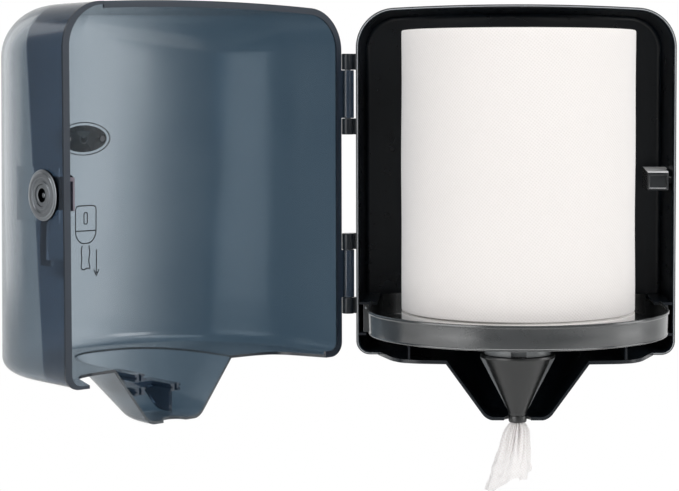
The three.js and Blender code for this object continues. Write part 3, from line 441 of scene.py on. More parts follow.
# Catch: dark ABS, its top painted near-white as a painted highlight
CATCH = moulded("dark_abs_polished", "#2B2D2F", "#36383A", 0.2, 0.6, 0.01)
CATCH_TOP_HIGHLIGHT = moulded("catch_top_painted_highlight", "#F0F1F2", "#F8F9FA", 0.2, 0.6, 0.005)
# Escutcheon and barrel: cast zinc with a dull nickel skin
CAST = metal("zinc_cast_dull_nickel", "#84888C", "#979B9F", 0.3, 0.6, 1.0, 0.02)
# Hook and clip: rolled and zinc-plated steel; bracket: the same, passivated dull; screws: blackened
STEEL = metal("steel_zinc_plated", "#8D9093", "#A5A8AB", 0.3, 0.5, 8.0, 0.01)
DULL_STEEL = moulded("steel_passivated_dull", "#6C656E", "#7C747E", 0.45, 0.8, 0.01,
                     values={"Metallic": 0.35})
# The same near-black steel is also painted as shade on the escutcheon's skirt and in the barrel's bore
BLACKENED_AND_SHADE = metal("steel_blackened_and_painted_shade", "#17181A", "#222325", 0.4, 0.5, 1.0, 0.01)
# Badge: dark moulded oval
BADGE = moulded("dark_abs_badge", "#0F1115", "#15181D", 0.28, 0.6, 0.01)
# Roll and tissue
ROLL = embossed_paper("tissue_embossed_roll", "#F1ECE9", "#E9E4E0", 2.0, 0.12)
ENDS = wound_edge("tissue_wound_ends")
TISSUE = embossed_paper("tissue_crumpled", "#FAF8F7", "#F3EDEB", 1.8, 0.1)
# Printed mark: near-black ink
INK = moulded("ink_screen_print", "#141C22", "#1B242B", 0.5, 0.4, 0.005)


# ---------------------------------------------------------------- forms shared by housing and door
def crown(x, inset):
    """Height of the crowned top: a wide arc about a point on the middle line far below."""
    return TOP - CROWN + np.sqrt((CROWN - inset) ** 2 - x * x)


def front_outline(inset, corner=18, across=48):
    """The outline seen from the front as (x, z): two top corners, the crown and two bottom corners."""
    low = TOP - CROWN
    cx = HALF - TOP_CORNER
    cz = low + math.sqrt((CROWN - TOP_CORNER) ** 2 - cx * cx)
    lean = math.atan2(cz - low, cx)
    bx, bz = HALF - BOTTOM_CORNER, BOTTOM + BOTTOM_CORNER
    r, q = TOP_CORNER - inset, BOTTOM_CORNER - inset
    sides = np.linspace(bz, cz, 14)[1:-1]
    right = np.stack([np.full(12, HALF - inset), sides], -1)
    left = np.stack([np.full(12, inset - HALF), sides[::-1]], -1)
    top = arc(0, low, CROWN - inset, lean, math.pi - lean, across)[1:-1]
    return np.concatenate([
        right, arc(cx, cz, r, 0, lean, corner), top,
        arc(-cx, cz, r, math.pi - lean, math.pi, corner), left,
        arc(-bx, bz, q, math.pi, 1.5 * math.pi, corner), arc(bx, bz, q, 1.5 * math.pi, 2 * math.pi, corner)])


def front_ring(inset, y):
    """The front outline, drawn in by inset, at depth y."""
    o = front_outline(inset)
    return np.stack([o[:, 0], np.full(len(o), float(y)), o[:, 1]], -1)


def parting_line(grow):
    """The line in plan between the housing's bottom plate and the door's bottom."""
    right = np.array([
        (HALF - 18.5 + grow, RIM), (HALF - 31.5 + grow, RIM - REACH * 0.66 - grow),
        (HALF - 39.5 + grow, RIM - REACH * 0.86 - grow), (HALF - 52.5, RIM - REACH * 0.95 - grow),
        (59.2, RIM - REACH - grow)])
    right = softened(right, 5, 5, closed=False)
    return np.concatenate([right, (right * (-1, 1))[::-1]])


def spout_half(side, inset, past, top):
    """Half of the spout: level rings of a squarish half ellipse, |x/w|^2.6 + |y/r|^2.6 = 1, that narrow
    downwards, with a rounded lower edge. past runs the ends over the split plane; a negative past moves
    the whole half off it."""
    low = SPOUT_LOW + inset
    top_reach, low_reach = (107, 50) if side < 0 else (98, 46)
    a = np.linspace(0, np.pi / 2, 9)
    levels = np.concatenate([low + 5 * (1 - np.cos(a)), np.linspace(low + 5, top, 12)[1:]])
    drawn = np.concatenate([5 * (1 - np.sin(a)), np.zeros(11)])
    share = (levels - SPOUT_LOW) / (SPOUT_MOUTH - SPOUT_LOW)
    width = (25.5 + 36.0 * share - inset - drawn)[:, None]
    reach = (low_reach + (top_reach - low_reach) * share - inset - drawn)[:, None]
    shift = max(0.0, -past)
    t = np.linspace(0, np.pi, 65)
    x = width * np.sign(np.cos(t)) * np.abs(np.cos(t)) ** (2 / 2.6)
    y = SPLIT + side * (shift + (reach - shift) * np.abs(np.sin(t)) ** (2 / 2.6))
    if past > 0:
        end = np.full((len(levels), 1), SPLIT - side * past)
        x = np.concatenate([width, x, -width], 1)
        y = np.concatenate([end, y, end], 1)
    return skin(np.stack([x, y, np.broadcast_to(levels[:, None], x.shape)], -1))


def nozzle_notch():
    """The round cut in the spout's lower edge."""
    return bore(NOTCH_RADIUS, -199, -191.2, (0, SPLIT))


def knuckle_centres():
    """Heights of the housing's four knuckles, one above and one below each of the door's."""
    return [top - s for top in PIN_TOPS for s in (KNUCKLE_HALF, 3 * KNUCKLE_HALF + DOOR_KNUCKLE + 0.8)]


def pin_bores(radius):
    """The bores that the two hinge pins stand in, open at both ends."""
    return [bore(radius, top - 71, top + 3, (HINGE_X, RIM), steps=40) for top in PIN_TOPS]


# ---------------------------------------------------------------- back housing
def housing_shell():
    """The bowl: the front outline carried along a profile of (inset, y) from the inner floor up the inner
    wall, over a rounded rim, down the outer wall and round onto the back."""
    front = RIM + EDGE
    a = np.linspace(0, np.pi / 2, 7)
    inner_fillet = np.stack([5.2 + 4 - 4 * np.sin(a), -3 - 4 + 4 * np.cos(a)], -1)
    inner_wall = np.stack([np.linspace(5.2, 3.0, 10), np.linspace(-7, front + 2.2, 10)], -1)[1:]
    rim = arc(1.5, front + 1.1, 1.1, 0, -math.pi, 10)
    outer_wall = np.stack([np.linspace(0, 2.2, 10), np.linspace(front + 2.2, -3, 10)], -1)
    back = np.stack([2.2 + 3 * (1 - np.cos(a)), -3 + 3 * np.sin(a)], -1)[1:]
    profile = np.concatenate([inner_fillet, inner_wall, rim, outer_wall, back])
    return skin([front_ring(inset, y) for inset, y in profile])


def side_ledges():
    """Two ledges down each side that carry the tray's runners, with a riser at their back ends."""
    made = []
    for side in (-1, 1):
        for top, reach in LEDGES:
            x0, x1 = sorted((side * (HALF - 1.5), side * (HALF - 3 - reach)))
            made.append(block(x0, x1, RIM + 0.8, -6, top - 2, top, 0.4))
        x0, x1 = sorted((side * (HALF - 5.2), side * (HALF - 1.5)))
        made.append(block(x0, x1, -8, -6, -132.8, -104.4))
    return made


def housing():
    """The back housing: the bowl joined with the bottom tongue, the spout half, ledges, ribs, knuckles and
    an arc of thin ridge on the back plate, then cut for the spout's hollow, the neck and the holes."""
    plate = parting_line(-EDGE)
    corner = HALF - 18.5
    tongue = prism(np.concatenate([plate, [(-corner, RIM + EDGE + 3), (corner, RIM + EDGE + 3)]]),
                   BOTTOM, BOTTOM + 3)
    ribs = [block(s * 90 - 1, s * 90 + 1, RIM - REACH + 6, -1.5, BOTTOM + 1.5, -123.9, 0.4) for s in (-1, 1)]
    knuckles, leaves = [], []
    for z in knuckle_centres():
        ends = (z - KNUCKLE_HALF, z + KNUCKLE_HALF)
        knuckles.append(rod(5.25, *ends, (HINGE_X, RIM), soft=0.6))
        leaves.append(block(HINGE_X, -HALF + 1.5, RIM + 0.6, RIM + 5.2, *ends))
    spout = spout_half(1, 0, -EDGE, BOTTOM + 1.5)
    low, high = math.radians(61), math.radians(121)
    ridge = prism(np.concatenate([arc(-3, 106, 36, low, high, 20), arc(-3, 106, 34.8, high, low, 20)]),
                  -3.8, -2, "y")
    made = loose("back_housing_moulding", [housing_shell()])
    carved(made, "UNION", tongue, spout, ridge, *side_ledges(), *ribs, *knuckles, *leaves)
    screw_hole = [(0, -6), (3.2, -6), (3.2, -1.2), (5.2, 1), (5.2, 2), (0, 2)]
    holes = [turned(screw_hole, (x, z), "y", 32, closed=False) for x in (-85, 85) for z in (-95, 95)]
    neck = block(129, HALF + 2, -77 + 8.5, -77 + 15.1, -3.75, 2.85)
    hollow = spout_half(1, 2.6, OVER, BOTTOM + 5)
    carved(made, "DIFFERENCE", hollow, nozzle_notch(), neck, *holes, *pin_bores(2.7))
    # The softened edges take a light grey and the rim's crest a paler grey: painted highlights along the
    # housing's edges
    finished(made, "housing", [BLACK, BLACK_RIM, BLACK_EDGE], ("back_housing",), bevel=0.5,
             edge_material=2)
    x, y, z = face_values(made, "center")
    crest = (np.abs(y - RIM - EDGE) < 0.06) & (np.abs(x) < HALF + 0.1) & (z > BOTTOM - 0.1)
    painted(made, crest)


def catch():
    """The catch: the CAD block with softened edges, its top painted near-white as a painted highlight; the
    top rises 2.4 mm towards the back."""
    made = refined("latch_catch", "latch_catch_block", "housing", [CATCH, CATCH_TOP_HIGHLIGHT], 0.7)
    # The top faces are painted near-white: a painted highlight
    painted(made, face_values(made, "normal")[2] > 0.6)
    co = values_of(made.data.vertices, "co", 3)
    upper, depth = co[:, 2] > co[:, 2].max() - 1 * MM, co[:, 1] - co[:, 1].min()
    co[:, 2] += upper * depth / depth.max() * 2.4 * MM
    made.data.vertices.foreach_set("co", co.ravel())
    made.data.update()


# ---------------------------------------------------------------- door
def door_plan(inset, start, z, steps=180):
    """Plan of the door's wall from its free rim round the front to its hinge rim: straight sides, then
    the curve |x/h|^2.12 + |f/r|^2.12 = 1, whose depth grows a little downwards."""
    t = np.concatenate([[0], np.linspace(0, np.pi, steps + 1), [np.pi]])
    half = HALF - inset
    depth = DEPTH_BOTTOM + (DEPTH_TOP - DEPTH_BOTTOM) * (z - BOTTOM) / (TOP - BOTTOM)
    reach = depth - STRAIGHT - inset
    x = half * np.sign(np.cos(t)) * np.abs(np.cos(t)) ** DOOR_POWER
    f = STRAIGHT + reach * np.abs(np.sin(t)) ** DOOR_POWER
    f = np.broadcast_to(f, np.broadcast_shapes(f.shape, x.shape)).copy()
    f[..., 0] = f[..., -1] = start
    return np.broadcast_to(x, f.shape), f, t


def roof(x, f, inset):
    """Height of the door's roof: the crown, falling with the square of the distance from the rim."""
    return crown(x, inset) - TOP_DROP - ROOF_FALL * (f / DEPTH_TOP) ** 2


def door_form(inset, start, fillet=14, rows=34, roof_rows=14):
    """The door's form drawn in by inset: a rounded bottom edge, walls, a rounding onto the roof that is
    33 mm wide at the sides and 13 mm across the front, and the roof, which closes at the rim's middle."""
    a = np.linspace(0, np.pi / 2, fillet + 1)[:, None]
    r = BOTTOM_ROUND - inset
    z = BOTTOM + inset + r * (1 - np.cos(a))
    x, f, t = door_plan(inset + r * (1 - np.sin(a)), start, z)
    low = np.stack([x, RIM - f, np.broadcast_to(z, x.shape)], -1)
    radius = 13 + 20 * np.abs(np.cos(t)) ** 0.7 + 9 * np.abs(np.sin(2 * t)) - inset
    x, f, _ = door_plan(inset + radius * (1 - np.cos(a)), start, TOP)
    high = np.stack([x, RIM - f, roof(x, f, inset) - radius * (1 - np.sin(a))], -1)
    s = np.linspace(0, 1, rows)[1:-1, None, None]
    walls = low[-1] * (1 - s) + high[0] * s
    s = np.linspace(1, 0, roof_rows)[1:, None]
    px, pf = x[-1] * s, start + (f[-1] - start) * s
    lid = np.stack([px, RIM - pf, roof(px, pf, inset)], -1)
    return np.concatenate([low, walls, high, lid])


def door_rim():
    """The rim's flange inwards along the hinge side and the top, and its lip outwards on the free side."""
    shape = door_form(0, EDGE)
    corner = HALF - TOP_CORNER
    flange = loose("door_flange", [skin(shape, (True, False))])
    carved(flange, "INTERSECT", block(-HALF - 1, corner, RIM - 2.2, RIM, BOTTOM - 1, TOP + 1))
    carved(flange, "DIFFERENCE", skin(door_form(5.4, -OVER), (True, False)))
    lip = loose("door_lip", [skin(shape + (3.2, 0, 0), (True, False))])
    carved(lip, "INTERSECT", block(corner, HALF + 4.2, RIM - 2.2, RIM, BOTTOM - 1, TOP + 1))
    carved(lip, "DIFFERENCE", skin(door_form(WALL, -OVER), (True, False)))
    return flange, lip


def taken(*objects):
    """The skins of unfinished objects, which are removed."""
    skins = []
    for o in objects:
        points = values_of(o.data.vertices, "co", 3).astype(float) / MM
        skins.append((points, [list(p.vertices) for p in o.data.polygons]))
        bpy.data.objects.remove(o)
    return skins


def door_front(x, z, inset):
    """Depth of the door's front face at places (x, z): the plan curve solved for f."""
    half = HALF - inset
    depth = DEPTH_BOTTOM + (DEPTH_TOP - DEPTH_BOTTOM) * (z - BOTTOM) / (TOP - BOTTOM)
    c = (np.abs(x) / half) ** (1 / DOOR_POWER)
    return STRAIGHT + (depth - STRAIGHT - inset) * np.sqrt(1 - c * c) ** DOOR_POWER


def oval(width, height, steps=72):
    """An upright oval about the badge's middle, as (x, z)."""
    t = np.linspace(0, 2 * np.pi, steps, endpoint=False)
    return np.stack([width / 2 * np.cos(t), BADGE_Z + height / 2 * np.sin(t)], -1)


def badge_recess():
    """The shallow oval that the badge lies in: the oval carried from 0.9 mm under the front outwards."""
    o = oval(53, 30)
    rows = [np.stack([o[:, 0] * s, RIM - door_front(o[:, 0] * s, BADGE_Z + (o[:, 1] - BADGE_Z) * s, 0.9),
                      BADGE_Z + (o[:, 1] - BADGE_Z) * s], -1) for s in (0.02, 0.35, 0.7, 0.9, 1.0)]
    rows.append(np.stack([o[:, 0], np.full(len(o), RIM - 196.0), o[:, 1]], -1))
    return skin(rows)


def door():
    """The door shell: the door's form less the same form drawn in by the wall, with the rim's flange and lip,
    the spout half and the knuckles joined, and the recesses, the floor's opening and the bores cut."""
    made = loose("door_shell_moulding", [skin(door_form(0, EDGE), (True, False))])
    inside = skin(door_form(WALL, -OVER), (True, False))
    lock_recess = block(HALF - 1.1, HALF + 6, RIM - 90, RIM - 12, -23.2, 18.5)
    carved(made, "DIFFERENCE", inside, lock_recess, badge_recess())
    carved(made, "UNION", *taken(*door_rim()), spout_half(-1, 0, -EDGE, BOTTOM + 1.25))
    corner = HALF - 18.5 + EDGE
    opening = prism(np.concatenate([parting_line(EDGE), [(-corner, RIM + OVER), (corner, RIM + OVER)]]),
                    BOTTOM - OVER, BOTTOM + BOTTOM_ROUND)
    hole = bore(11.4, 131.5, 138.5, (LOCK_Y, LOCK_Z), "x")
    pins = [bore(1.6, RIM - 193, RIM - 54, (s * PIN_X, BADGE_Z), "y", 24) for s in (-1, 1)]
    hollow = spout_half(-1, 2.6, OVER, BOTTOM + 4.5)
    carved(made, "DIFFERENCE", hollow, opening, nozzle_notch(), hole, *pins)
    joined = []
    for top in PIN_TOPS:
        high = top - 14
        joined.append(rod(5.25, high - DOOR_KNUCKLE, high, (HINGE_X, RIM), soft=0.6))
        joined.append(block(HINGE_X, -HALF + 1.25, RIM - 5.2, RIM - 0.6, high - DOOR_KNUCKLE, high))
    carved(made, "UNION", *joined)
    screws = [bore(1.15, 128, HALF - 1.25, at, "x", 20) for at in SCREW_PLACES]
    carved(made, "DIFFERENCE", *pin_bores(2.75), *screws)
    # An edge loop along the band's front, so that the band can be given its own material
    work = bmesh.new()
    work.from_mesh(made.data)
    bmesh.ops.bisect_plane(work, geom=work.verts[:] + work.edges[:] + work.faces[:], dist=1e-7,
                           plane_co=(0, (RIM - BAND) * MM, BOTTOM * MM), plane_no=(0, 1, BAND_LEAN))
    work.to_mesh(made.data)
    work.free()
    x, y, z = face_values(made, "center")
    _, ny, nz = face_values(made, "normal")
    rim_sides = (y > RIM - 2.3) & (np.abs(ny) < 0.5)
    badge_oval = np.abs((x / 26.5) ** 2 + ((z - BADGE_Z) / 15) ** 2 - 1) < 0.04
    badge_edge = badge_oval & (y < RIM - 150) & (np.abs(ny) < 0.6)
    floor_edge = (z < BOTTOM + WALL + 0.3) & (z > BOTTOM) & (np.abs(nz) < 0.3) & (np.abs(x) < HALF - 16)
    lock_edges = (x > HALF - 1.3) & (np.abs(nz) > 0.7) & (np.abs(np.abs(z + 2.35) - 20.85) < 0.3)
    # The cut edges along the rim, the badge's recess, the lock's recess and the floor's opening are painted
    # near-black: painted shade where the edges turn the light away
    line = rim_sides | badge_edge | lock_edges | (floor_edge & (y > RIM - 150))
    thick = (np.hypot(x - HINGE_X, y - RIM) < 5.6) & ~line
    rim_face = (y > RIM - 2.6) & ~thick & ~line
    band = (x > HALF - 46) & (y + BAND_LEAN * (z - BOTTOM) > RIM - BAND)
    band = band & ~thick & ~line & ~rim_face
    placed(made, swung)
    finished(made, "door", [SMOKE, SMOKE_THICK, SMOKE_SIDE, SMOKE_LINE, SMOKE_RIM], ("door_shell",),
             angle=30, bevel=0.3)
    painted(made, thick + 2 * band + 3 * line + 4 * rim_face)


# ---------------------------------------------------------------- badge
def badge():
    """The oval badge: rings of the oval scaled from its middle, lying on the door's front curve, with a
    crowned face, a rolled edge and a round boss in the middle."""
    o = oval(46, 23.4)
    shares = np.array([0.004, 0.2, 0.4, 0.6, 0.75, 0.86, 0.94, 0.98, 1.0, 1.0])
    proud = np.array([0.75, 0.75, 0.74, 0.72, 0.7, 0.66, 0.5, 0.25, -0.05, -0.55])
    rows = []
    for s, p in list(zip(shares, proud)) + [(0.6, -0.55), (0.004, -0.55)]:
        x, z = o[:, 0] * s, BADGE_Z + (o[:, 1] - BADGE_Z) * s
        rows.append(np.stack([x, RIM - door_front(x, z, 0) - p, z], -1))
    face = RIM - door_front(0.0, BADGE_Z, 0)
    boss = turned(softened([(0, face - 1.5), (2.6, face - 1.5), (3.0, face - 0.9), (3.0, face), (0, face)],
                           0.4, 4, False), (0, BADGE_Z), "y", 48, closed=False)
    # A thin dark ring along the recess's edge: painted shade standing for the dark line of that edge
    edge_shade_ring = []
    for half, low in ((26.1, -0.84), (26.1, -0.56), (25.3, -0.56), (25.3, -0.84), (26.1, -0.84)):
        e = oval(2 * half, 2 * half - 23)
        edge_shade_ring.append(np.stack([e[:, 0], RIM - door_front(e[:, 0], e[:, 1], 0) - low, e[:, 1]], -1))
    ring = turned([(3.6, face + 0.5), (4.6, face + 0.5), (4.6, face + 0.84), (3.6, face + 0.84)],
                  (0, BADGE_Z), "y", 48)
    made = loose("badge_oval", [skin(rows), boss, skin(edge_shade_ring, (False, False)), ring])
    x, y, z = face_values(made, "center")
    pale = (y > face + 0.6) & (y < face + 1) & (np.hypot(x, z - BADGE_Z) < 5)
    placed(made, swung)
    finished(made, "door", [BADGE, COLLAR], ("badge_plate",))
    painted(made, pale)


def badge_pin(side, name, cad):
    """One of the badge's pins: a round head, a shank through the door and a toothed push-on washer."""
    low = RIM - door_front(PIN_X, BADGE_Z, 0)
    inside = low + 3.1
    shank = rod(1.3, low - 1.2, inside + 1.2, (side * PIN_X, BADGE_Z), "y", 24, 0.2)
    line = softened([(0, low - 1.9), (1.6, low - 1.9), (2.0, low - 1.1), (0, low - 1.1)], 0.3, 3, False)
    head = turned(line, (side * PIN_X, BADGE_Z), "y", 32, closed=False)
    t = np.linspace(0, 2 * np.pi, 16, endpoint=False)
    r = np.where(np.arange(16) % 2, 3.2, 2.2)
    teeth = np.stack([side * PIN_X + r * np.cos(t), BADGE_Z + r * np.sin(t)], -1)
    washer = prism(teeth, inside, inside + 0.6, "y")
    made = loose(name, [shank, head, washer])
    placed(made, swung)
    finished(made, "door", STEEL, (cad,))


# ---------------------------------------------------------------- lock
def lock_parts():
    """The escutcheon and the barrel, both turned about the lock's axis; the barrel's bore holds a post. The
    escutcheon's skirt and the bore are painted near-black as painted shade. Two screws with domed heads hold
    the bracket."""
    axis = (LOCK_Y, LOCK_Z)
    line = [(8.55, 133.7), (11, 133.7), (11, 135.7), (19.8, 135.7), (19.8, 137.6), (19.3, 138.1),
            (17.4, 138.2), (17.1, 138.9), (13.7, 138.9), (13.5, 138.1), (11.1, 138.1), (10.9, 138.9),
            (8.55, 138.9)]
    escutcheon = loose("lock_escutcheon", [turned(softened(line, 0.25, 3), axis, "x", 128)])
    x, y, z = face_values(escutcheon, "center")
    # The skirt is painted near-black: a painted shade around the escutcheon
    skirt = (np.hypot(y - LOCK_Y, z - LOCK_Z) > 19.5) & (x < 137.7)
    placed(escutcheon, swung)
    finished(escutcheon, "door", [CAST, BLACKENED_AND_SHADE], ("lock_plate",), angle=25)
    painted(escutcheon, skirt)
    line = [(0, 125.6), (4.4, 125.6), (4.6, 125.9), (4.6, 127.2), (3.9, 127.2), (3.9, 128.5), (4.6, 128.5),
            (4.6, 132.75), (8.2, 132.75), (8.2, 138.4), (5.7, 138.4), (5.4, 138.0), (5.4, 134.2),
            (1.9, 134.2), (1.9, 136.7), (1.6, 136.9), (0, 136.9)]
    line = softened(line, 0.2, 3, False)
    made = loose("lock_cylinder", [turned(line, axis, "x", 96, closed=False)])
    x, y, z = face_values(made, "center")
    radius = np.hypot(y - LOCK_Y, z - LOCK_Z)
    placed(made, unlocked)
    finished(made, "lock", [CAST, BLACKENED_AND_SHADE], ("lock_barrel",), angle=25)
    # The bore is painted near-black: painted shade in the hole
    painted(made, (radius > 2) & (radius < 5.6) & (x > 133.5) & (x < 138.2))
    dome = softened([(0, 126.7), (1.6, 126.7), (3.0, 127.6), (3.0, 128.5), (0, 128.5)], 0.5, 4, False)
    for k, at in enumerate(SCREW_PLACES, 1):
        shank = rod(0.85, 128.5, 134.9, at, "x", 20, 0.1)
        head = turned(dome, at, "x", 40, closed=False)
        screw = loose(f"bracket_screw_{k}_steel", [shank, head])
        placed(screw, swung)
        finished(screw, "door", BLACKENED_AND_SHADE, (f"bracket_screw_{k}",))


def yoke():
    """The clip in the door's spout: a fork, a second arm above its right prong and a web down to the
    spout's floor, all grooved along their sides, drawn in to the spout's room."""
    made = loose("spout_yoke_clip", [block(-23, 23, RIM - 121, RIM - 77.5, -175.5, -169.5)])
    carved(made, "DIFFERENCE", block(-13, 13, RIM - 104, RIM - 75, -178, -167))
    web = block(-17.5, -14.5, RIM - 191, RIM - 82, -196.4, -172.5)
    arm = block(13, 23, RIM - 117, RIM - 77.5, -164, -158)
    post = block(13, 23, RIM - 117, RIM - 108, -172.5, -158)
    carved(made, "UNION", web, arm, post)
    carved(made, "INTERSECT", spout_half(-1, 2.9, 0, BOTTOM))
    grooves = [block(x, x + 3.4, RIM - 125, RIM - 70, -173.4, -171.6) for x in (-24.6, -14.6, 11.2, 21.2)]
    grooves += [block(x, x + 3.4, RIM - 125, RIM - 70, -161.9, -160.1) for x in (11.2, 21.2)]
    grooves += [block(x, x + 2.4, RIM - 79.7, RIM - 70, -180, -150) for x in (-19.2, 16.8)]
    carved(made, "DIFFERENCE", *grooves)
    placed(made, swung)
    finished(made, "door", SMOKE_THICK, ("spout_yoke",), bevel=0.3)


# ---------------------------------------------------------------- tray, roll, funnel
def tray_plan(inset, steps=128):
    """Plan of the tray: half an ellipse in front, straight sides, rounded corners at the back."""
    half, back, corner = 124.3 - inset, -14 - inset, 22 - inset
    t = np.linspace(0, np.pi, steps + 1)
    front = np.stack([half * np.cos(t), SPLIT - (112 - inset) * np.sin(t)], -1)
    return np.concatenate([front, arc(-half + corner, back - corner, corner, math.pi, math.pi / 2, 16),
                           arc(half - corner, back - corner, corner, math.pi / 2, 0, 16)])


def tray_ring(inset, z):
    """The tray's plan, drawn in by inset, at height z."""
    p = tray_plan(inset)
    return np.stack([p[:, 0], p[:, 1], np.full(len(p), float(z))], -1)


def tray():
    """The tray: its plan carried along a profile of (inset, height) with a rolled lip at the top and a
    small bead along the bottom edge; the neck, runners and studs' holes are joined and cut."""
    profile = [(4.5, -123.6), (2.2, -123.6), (1.4, -123.3), (1.1, -122.7), (1.2, -122.1), (1.55, -121.7),
               (1.5, -121.2), (1.25, -114), (0.95, -106.6), (0.9, -106.1), (0.25, -105.4), (0.0, -105.0),
               (0.0, -103.8), (0.25, -103.4), (0.7, -103.3), (1.6, -103.3), (2.1, -103.5), (2.2, -104.0),
               (2.7, -112), (3.3, -118.6), (4.2, -120.6), (6.0, -121.2)]
    made = loose("tray_moulding", [skin([tray_ring(i, z) for i, z in profile])])
    neck_line = [(23.6, -136.6), (26.2, -136.6), (26.2, -122.4), (23.6, -122.4)]
    neck = turned(softened(neck_line, 0.4, 3), (0, SPLIT))
    runners = [block(*sorted((s * 122.1, s * 130.5)), -76, -20, -130.2, -106.7, 0.5) for s in (-1, 1)]
    relief = [block(*sorted((s * 116.5, s * 136.5)), -78, 0, -107.2, -101) for s in (-1, 1)]
    carved(made, "DIFFERENCE", *relief)
    carved(made, "UNION", *runners, neck)
    holes = [bore(1.6, -79, -66.7, (s * STUD_X, STUD_Z), "y", 24) for s in (-1, 1)]
    carved(made, "DIFFERENCE", bore(23.6, -139, -104, (0, SPLIT)), *holes)
    finished(made, "housing", GREY, ("tray",), angle=28, bevel=0.25)
    line = [(0, -77.5), (0.9, -77.5), (1.25, -76.9), (1.25, -76.3), (1.2, -76.3), (1.3, -67), (0, -67)]
    line = softened(line, 0.25, 3, False)
    for s, name in ((-1, "left"), (1, "right")):
        stud = loose(f"tray_stud_{name}_steel", [turned(line, (s * STUD_X, STUD_Z), "y", 32, closed=False)])
        finished(stud, "housing", STEEL, (f"tray_stud_{name}",))


def unrolled(mesh, flat):
    """Gives a mesh its map in metres: a place on the flat for each corner of each face."""
    layer = mesh.uv_layers.new(name="metres")
    layer.data.foreach_set("uv", flat.astype(np.float32).ravel())


def mapped(target, radius):
    """Gives a turned piece a map in metres: distance round its axis and height."""
    mesh = target.data
    co = values_of(mesh.vertices, "co", 3)
    index = values_of(mesh.loops, "vertex_index", kind=np.int32)
    angle = np.arctan2(co[:, 0], -(co[:, 1] - SPLIT * MM))[index]
    starts = values_of(mesh.polygons, "loop_start", kind=np.int32)
    totals = values_of(mesh.polygons, "loop_total", kind=np.int32)
    first = np.repeat(angle[starts], totals)
    angle = angle + 2 * np.pi * np.round((first - angle) / (2 * np.pi))
    unrolled(mesh, np.stack([angle * radius * MM, co[index, 2]], -1))


def paper_roll():
    """The roll without a core: a turned body whose side bulges by a fraction of a millimetre, r = 96 times
    one plus small waves in height and angle, with a crease near the bottom where the wrapping sheet
    ends, which is deeper on the left."""
    low, top, core = ROLL_LOW, ROLL_TOP, ROLL_CORE
    z = np.concatenate([np.linspace(low + 1.4, -106.6, 8), np.linspace(-105.9, -102.1, 16),
                        np.linspace(-101.6, top - 1.4, 60)])
    dent = 2.6 * np.exp(-((z - CREASE_Z) / 0.6) ** 2)
    side = np.stack([96.0 - dent + 0.12 * np.sin(z / 17.0), z], -1)
    profile = np.concatenate([
        [(core, low), (core + 0.6, low)], np.stack([np.linspace(30, 94.4, 24), np.full(24, low)], -1),
        arc(94.6, low + 1.4, 1.4, -math.pi / 2, 0, 4), side[1:-1],
        arc(94.6, top - 1.4, 1.4, 0, math.pi / 2, 4),
        np.stack([np.linspace(94.4, 30, 24), top - 0.25 + 0.25 * np.cos(np.linspace(0, 9, 24))], -1),
        [(core, top - 0.3)], np.stack([np.full(12, core), np.linspace(top - 1, low + 1, 12)], -1)])
    points, faces = turned(profile, (0, SPLIT), "z", 180)
    angle = np.arctan2(points[:, 0], -(points[:, 1] - SPLIT))
    x, y, z = points.T
    ripple = 1 + 0.0016 * np.sin(3 * angle + z / 60) + 0.0008 * np.sin(11 * angle - z / 23)
    ripple = ripple - 0.03 * np.exp(-((z - CREASE_Z) / 0.5) ** 2) * np.clip(0.3 - 2 * angle, 0, 1)
    points = np.stack([x * ripple, SPLIT + (y - SPLIT) * ripple, z], -1)
    made = loose("paper_roll_wound", [(points, faces)])
    mapped(made, 96.2)
    finished(made, "housing", [ROLL, ENDS], ("paper_roll",), angle=50)
    painted(made, np.abs(face_values(made, "normal")[2]) > 0.7)


def paper_tail():
    """The tissue that comes down through the nozzle: one web wound nearly two turns, whose cross-section
    is r(u) = reach (1 - deep * pleats - broad folds) about the nozzle's axis. The pleats are deep inside
    the funnel and open to broad folds below it, where the web leans to the left, flattens, crumples
    and ends in a torn edge."""
    cols, rows = 460, 170
    u = np.linspace(0, 1, cols)
    s = np.linspace(0, 1, rows)[:, None]
    t = 2 * np.pi * (1.9 * u - 0.18) + 0.12 * np.sin(2.5 * s + 7 * u)
    torn = 2.0 * np.sin(17 * u + 1.0) + 1.2 * np.sin(47 * u) + 0.5 * np.sin(131 * u + 2)
    z = -118.0 + (-246.0 - torn + 6.5 * np.cos(t) + 118.0) * s
    hang = np.clip((-198.6 - z) / 50.0, 0, 1.2)
    fan = np.clip(1.5 * hang, 0, 1)
    reach = np.interp(-z, [117, 150, 180, 197, 200, 205, 226, 256],
                      [11.2, 7.6, 4.9, 4.7, 8.4, 11.4, 15.4, 20.0])
    inner = 1 - 0.16 * np.clip(1.9 * u - 0.9, 0, 1)
    tight = 0.5 + 0.5 * np.cos(2 * np.pi * 23 * u + 1.2 * np.sin(3 * s + 9 * u))
    wide = 0.5 + 0.5 * np.cos(2 * np.pi * 8.6 * u + 1.5 * s + 0.8 * np.sin(11 * u))
    r = reach * inner * (1 - (0.7 - 0.65 * fan) * tight - fan * (0.28 - 0.1 * hang) * wide ** 1.6)
    r = r + fan * (0.5 * np.sin(34 * s + 9 * np.cos(7 * u)) + 0.3 * np.sin(75 * s + 31 * u))
    x = r * np.cos(t) - 7.4 * np.clip(hang, 0, 1.2) ** 1.2 + 0.5 * hang * np.sin(7 * s + 5 * u)
    y = SPLIT + r * (1 - 0.45 * np.clip(hang, 0, 1)) * np.sin(t)
    points = np.stack([x, y, np.broadcast_to(z, x.shape)], -1).reshape(-1, 3)
    mesh = bpy.data.meshes.new("paper_tail_tissue")
    mesh.from_pydata((points * MM).tolist(), [], quads(rows, cols, wrap=False).tolist())
    made = added("paper_tail_tissue", mesh)
    index = values_of(mesh.loops, "vertex_index", kind=np.int32)
    unrolled(mesh, np.stack(np.broadcast_arrays(u * 0.19, -z * MM), -1).reshape(-1, 2)[index])
    finished(made, "housing", TISSUE, ("paper_tail",), angle=70)


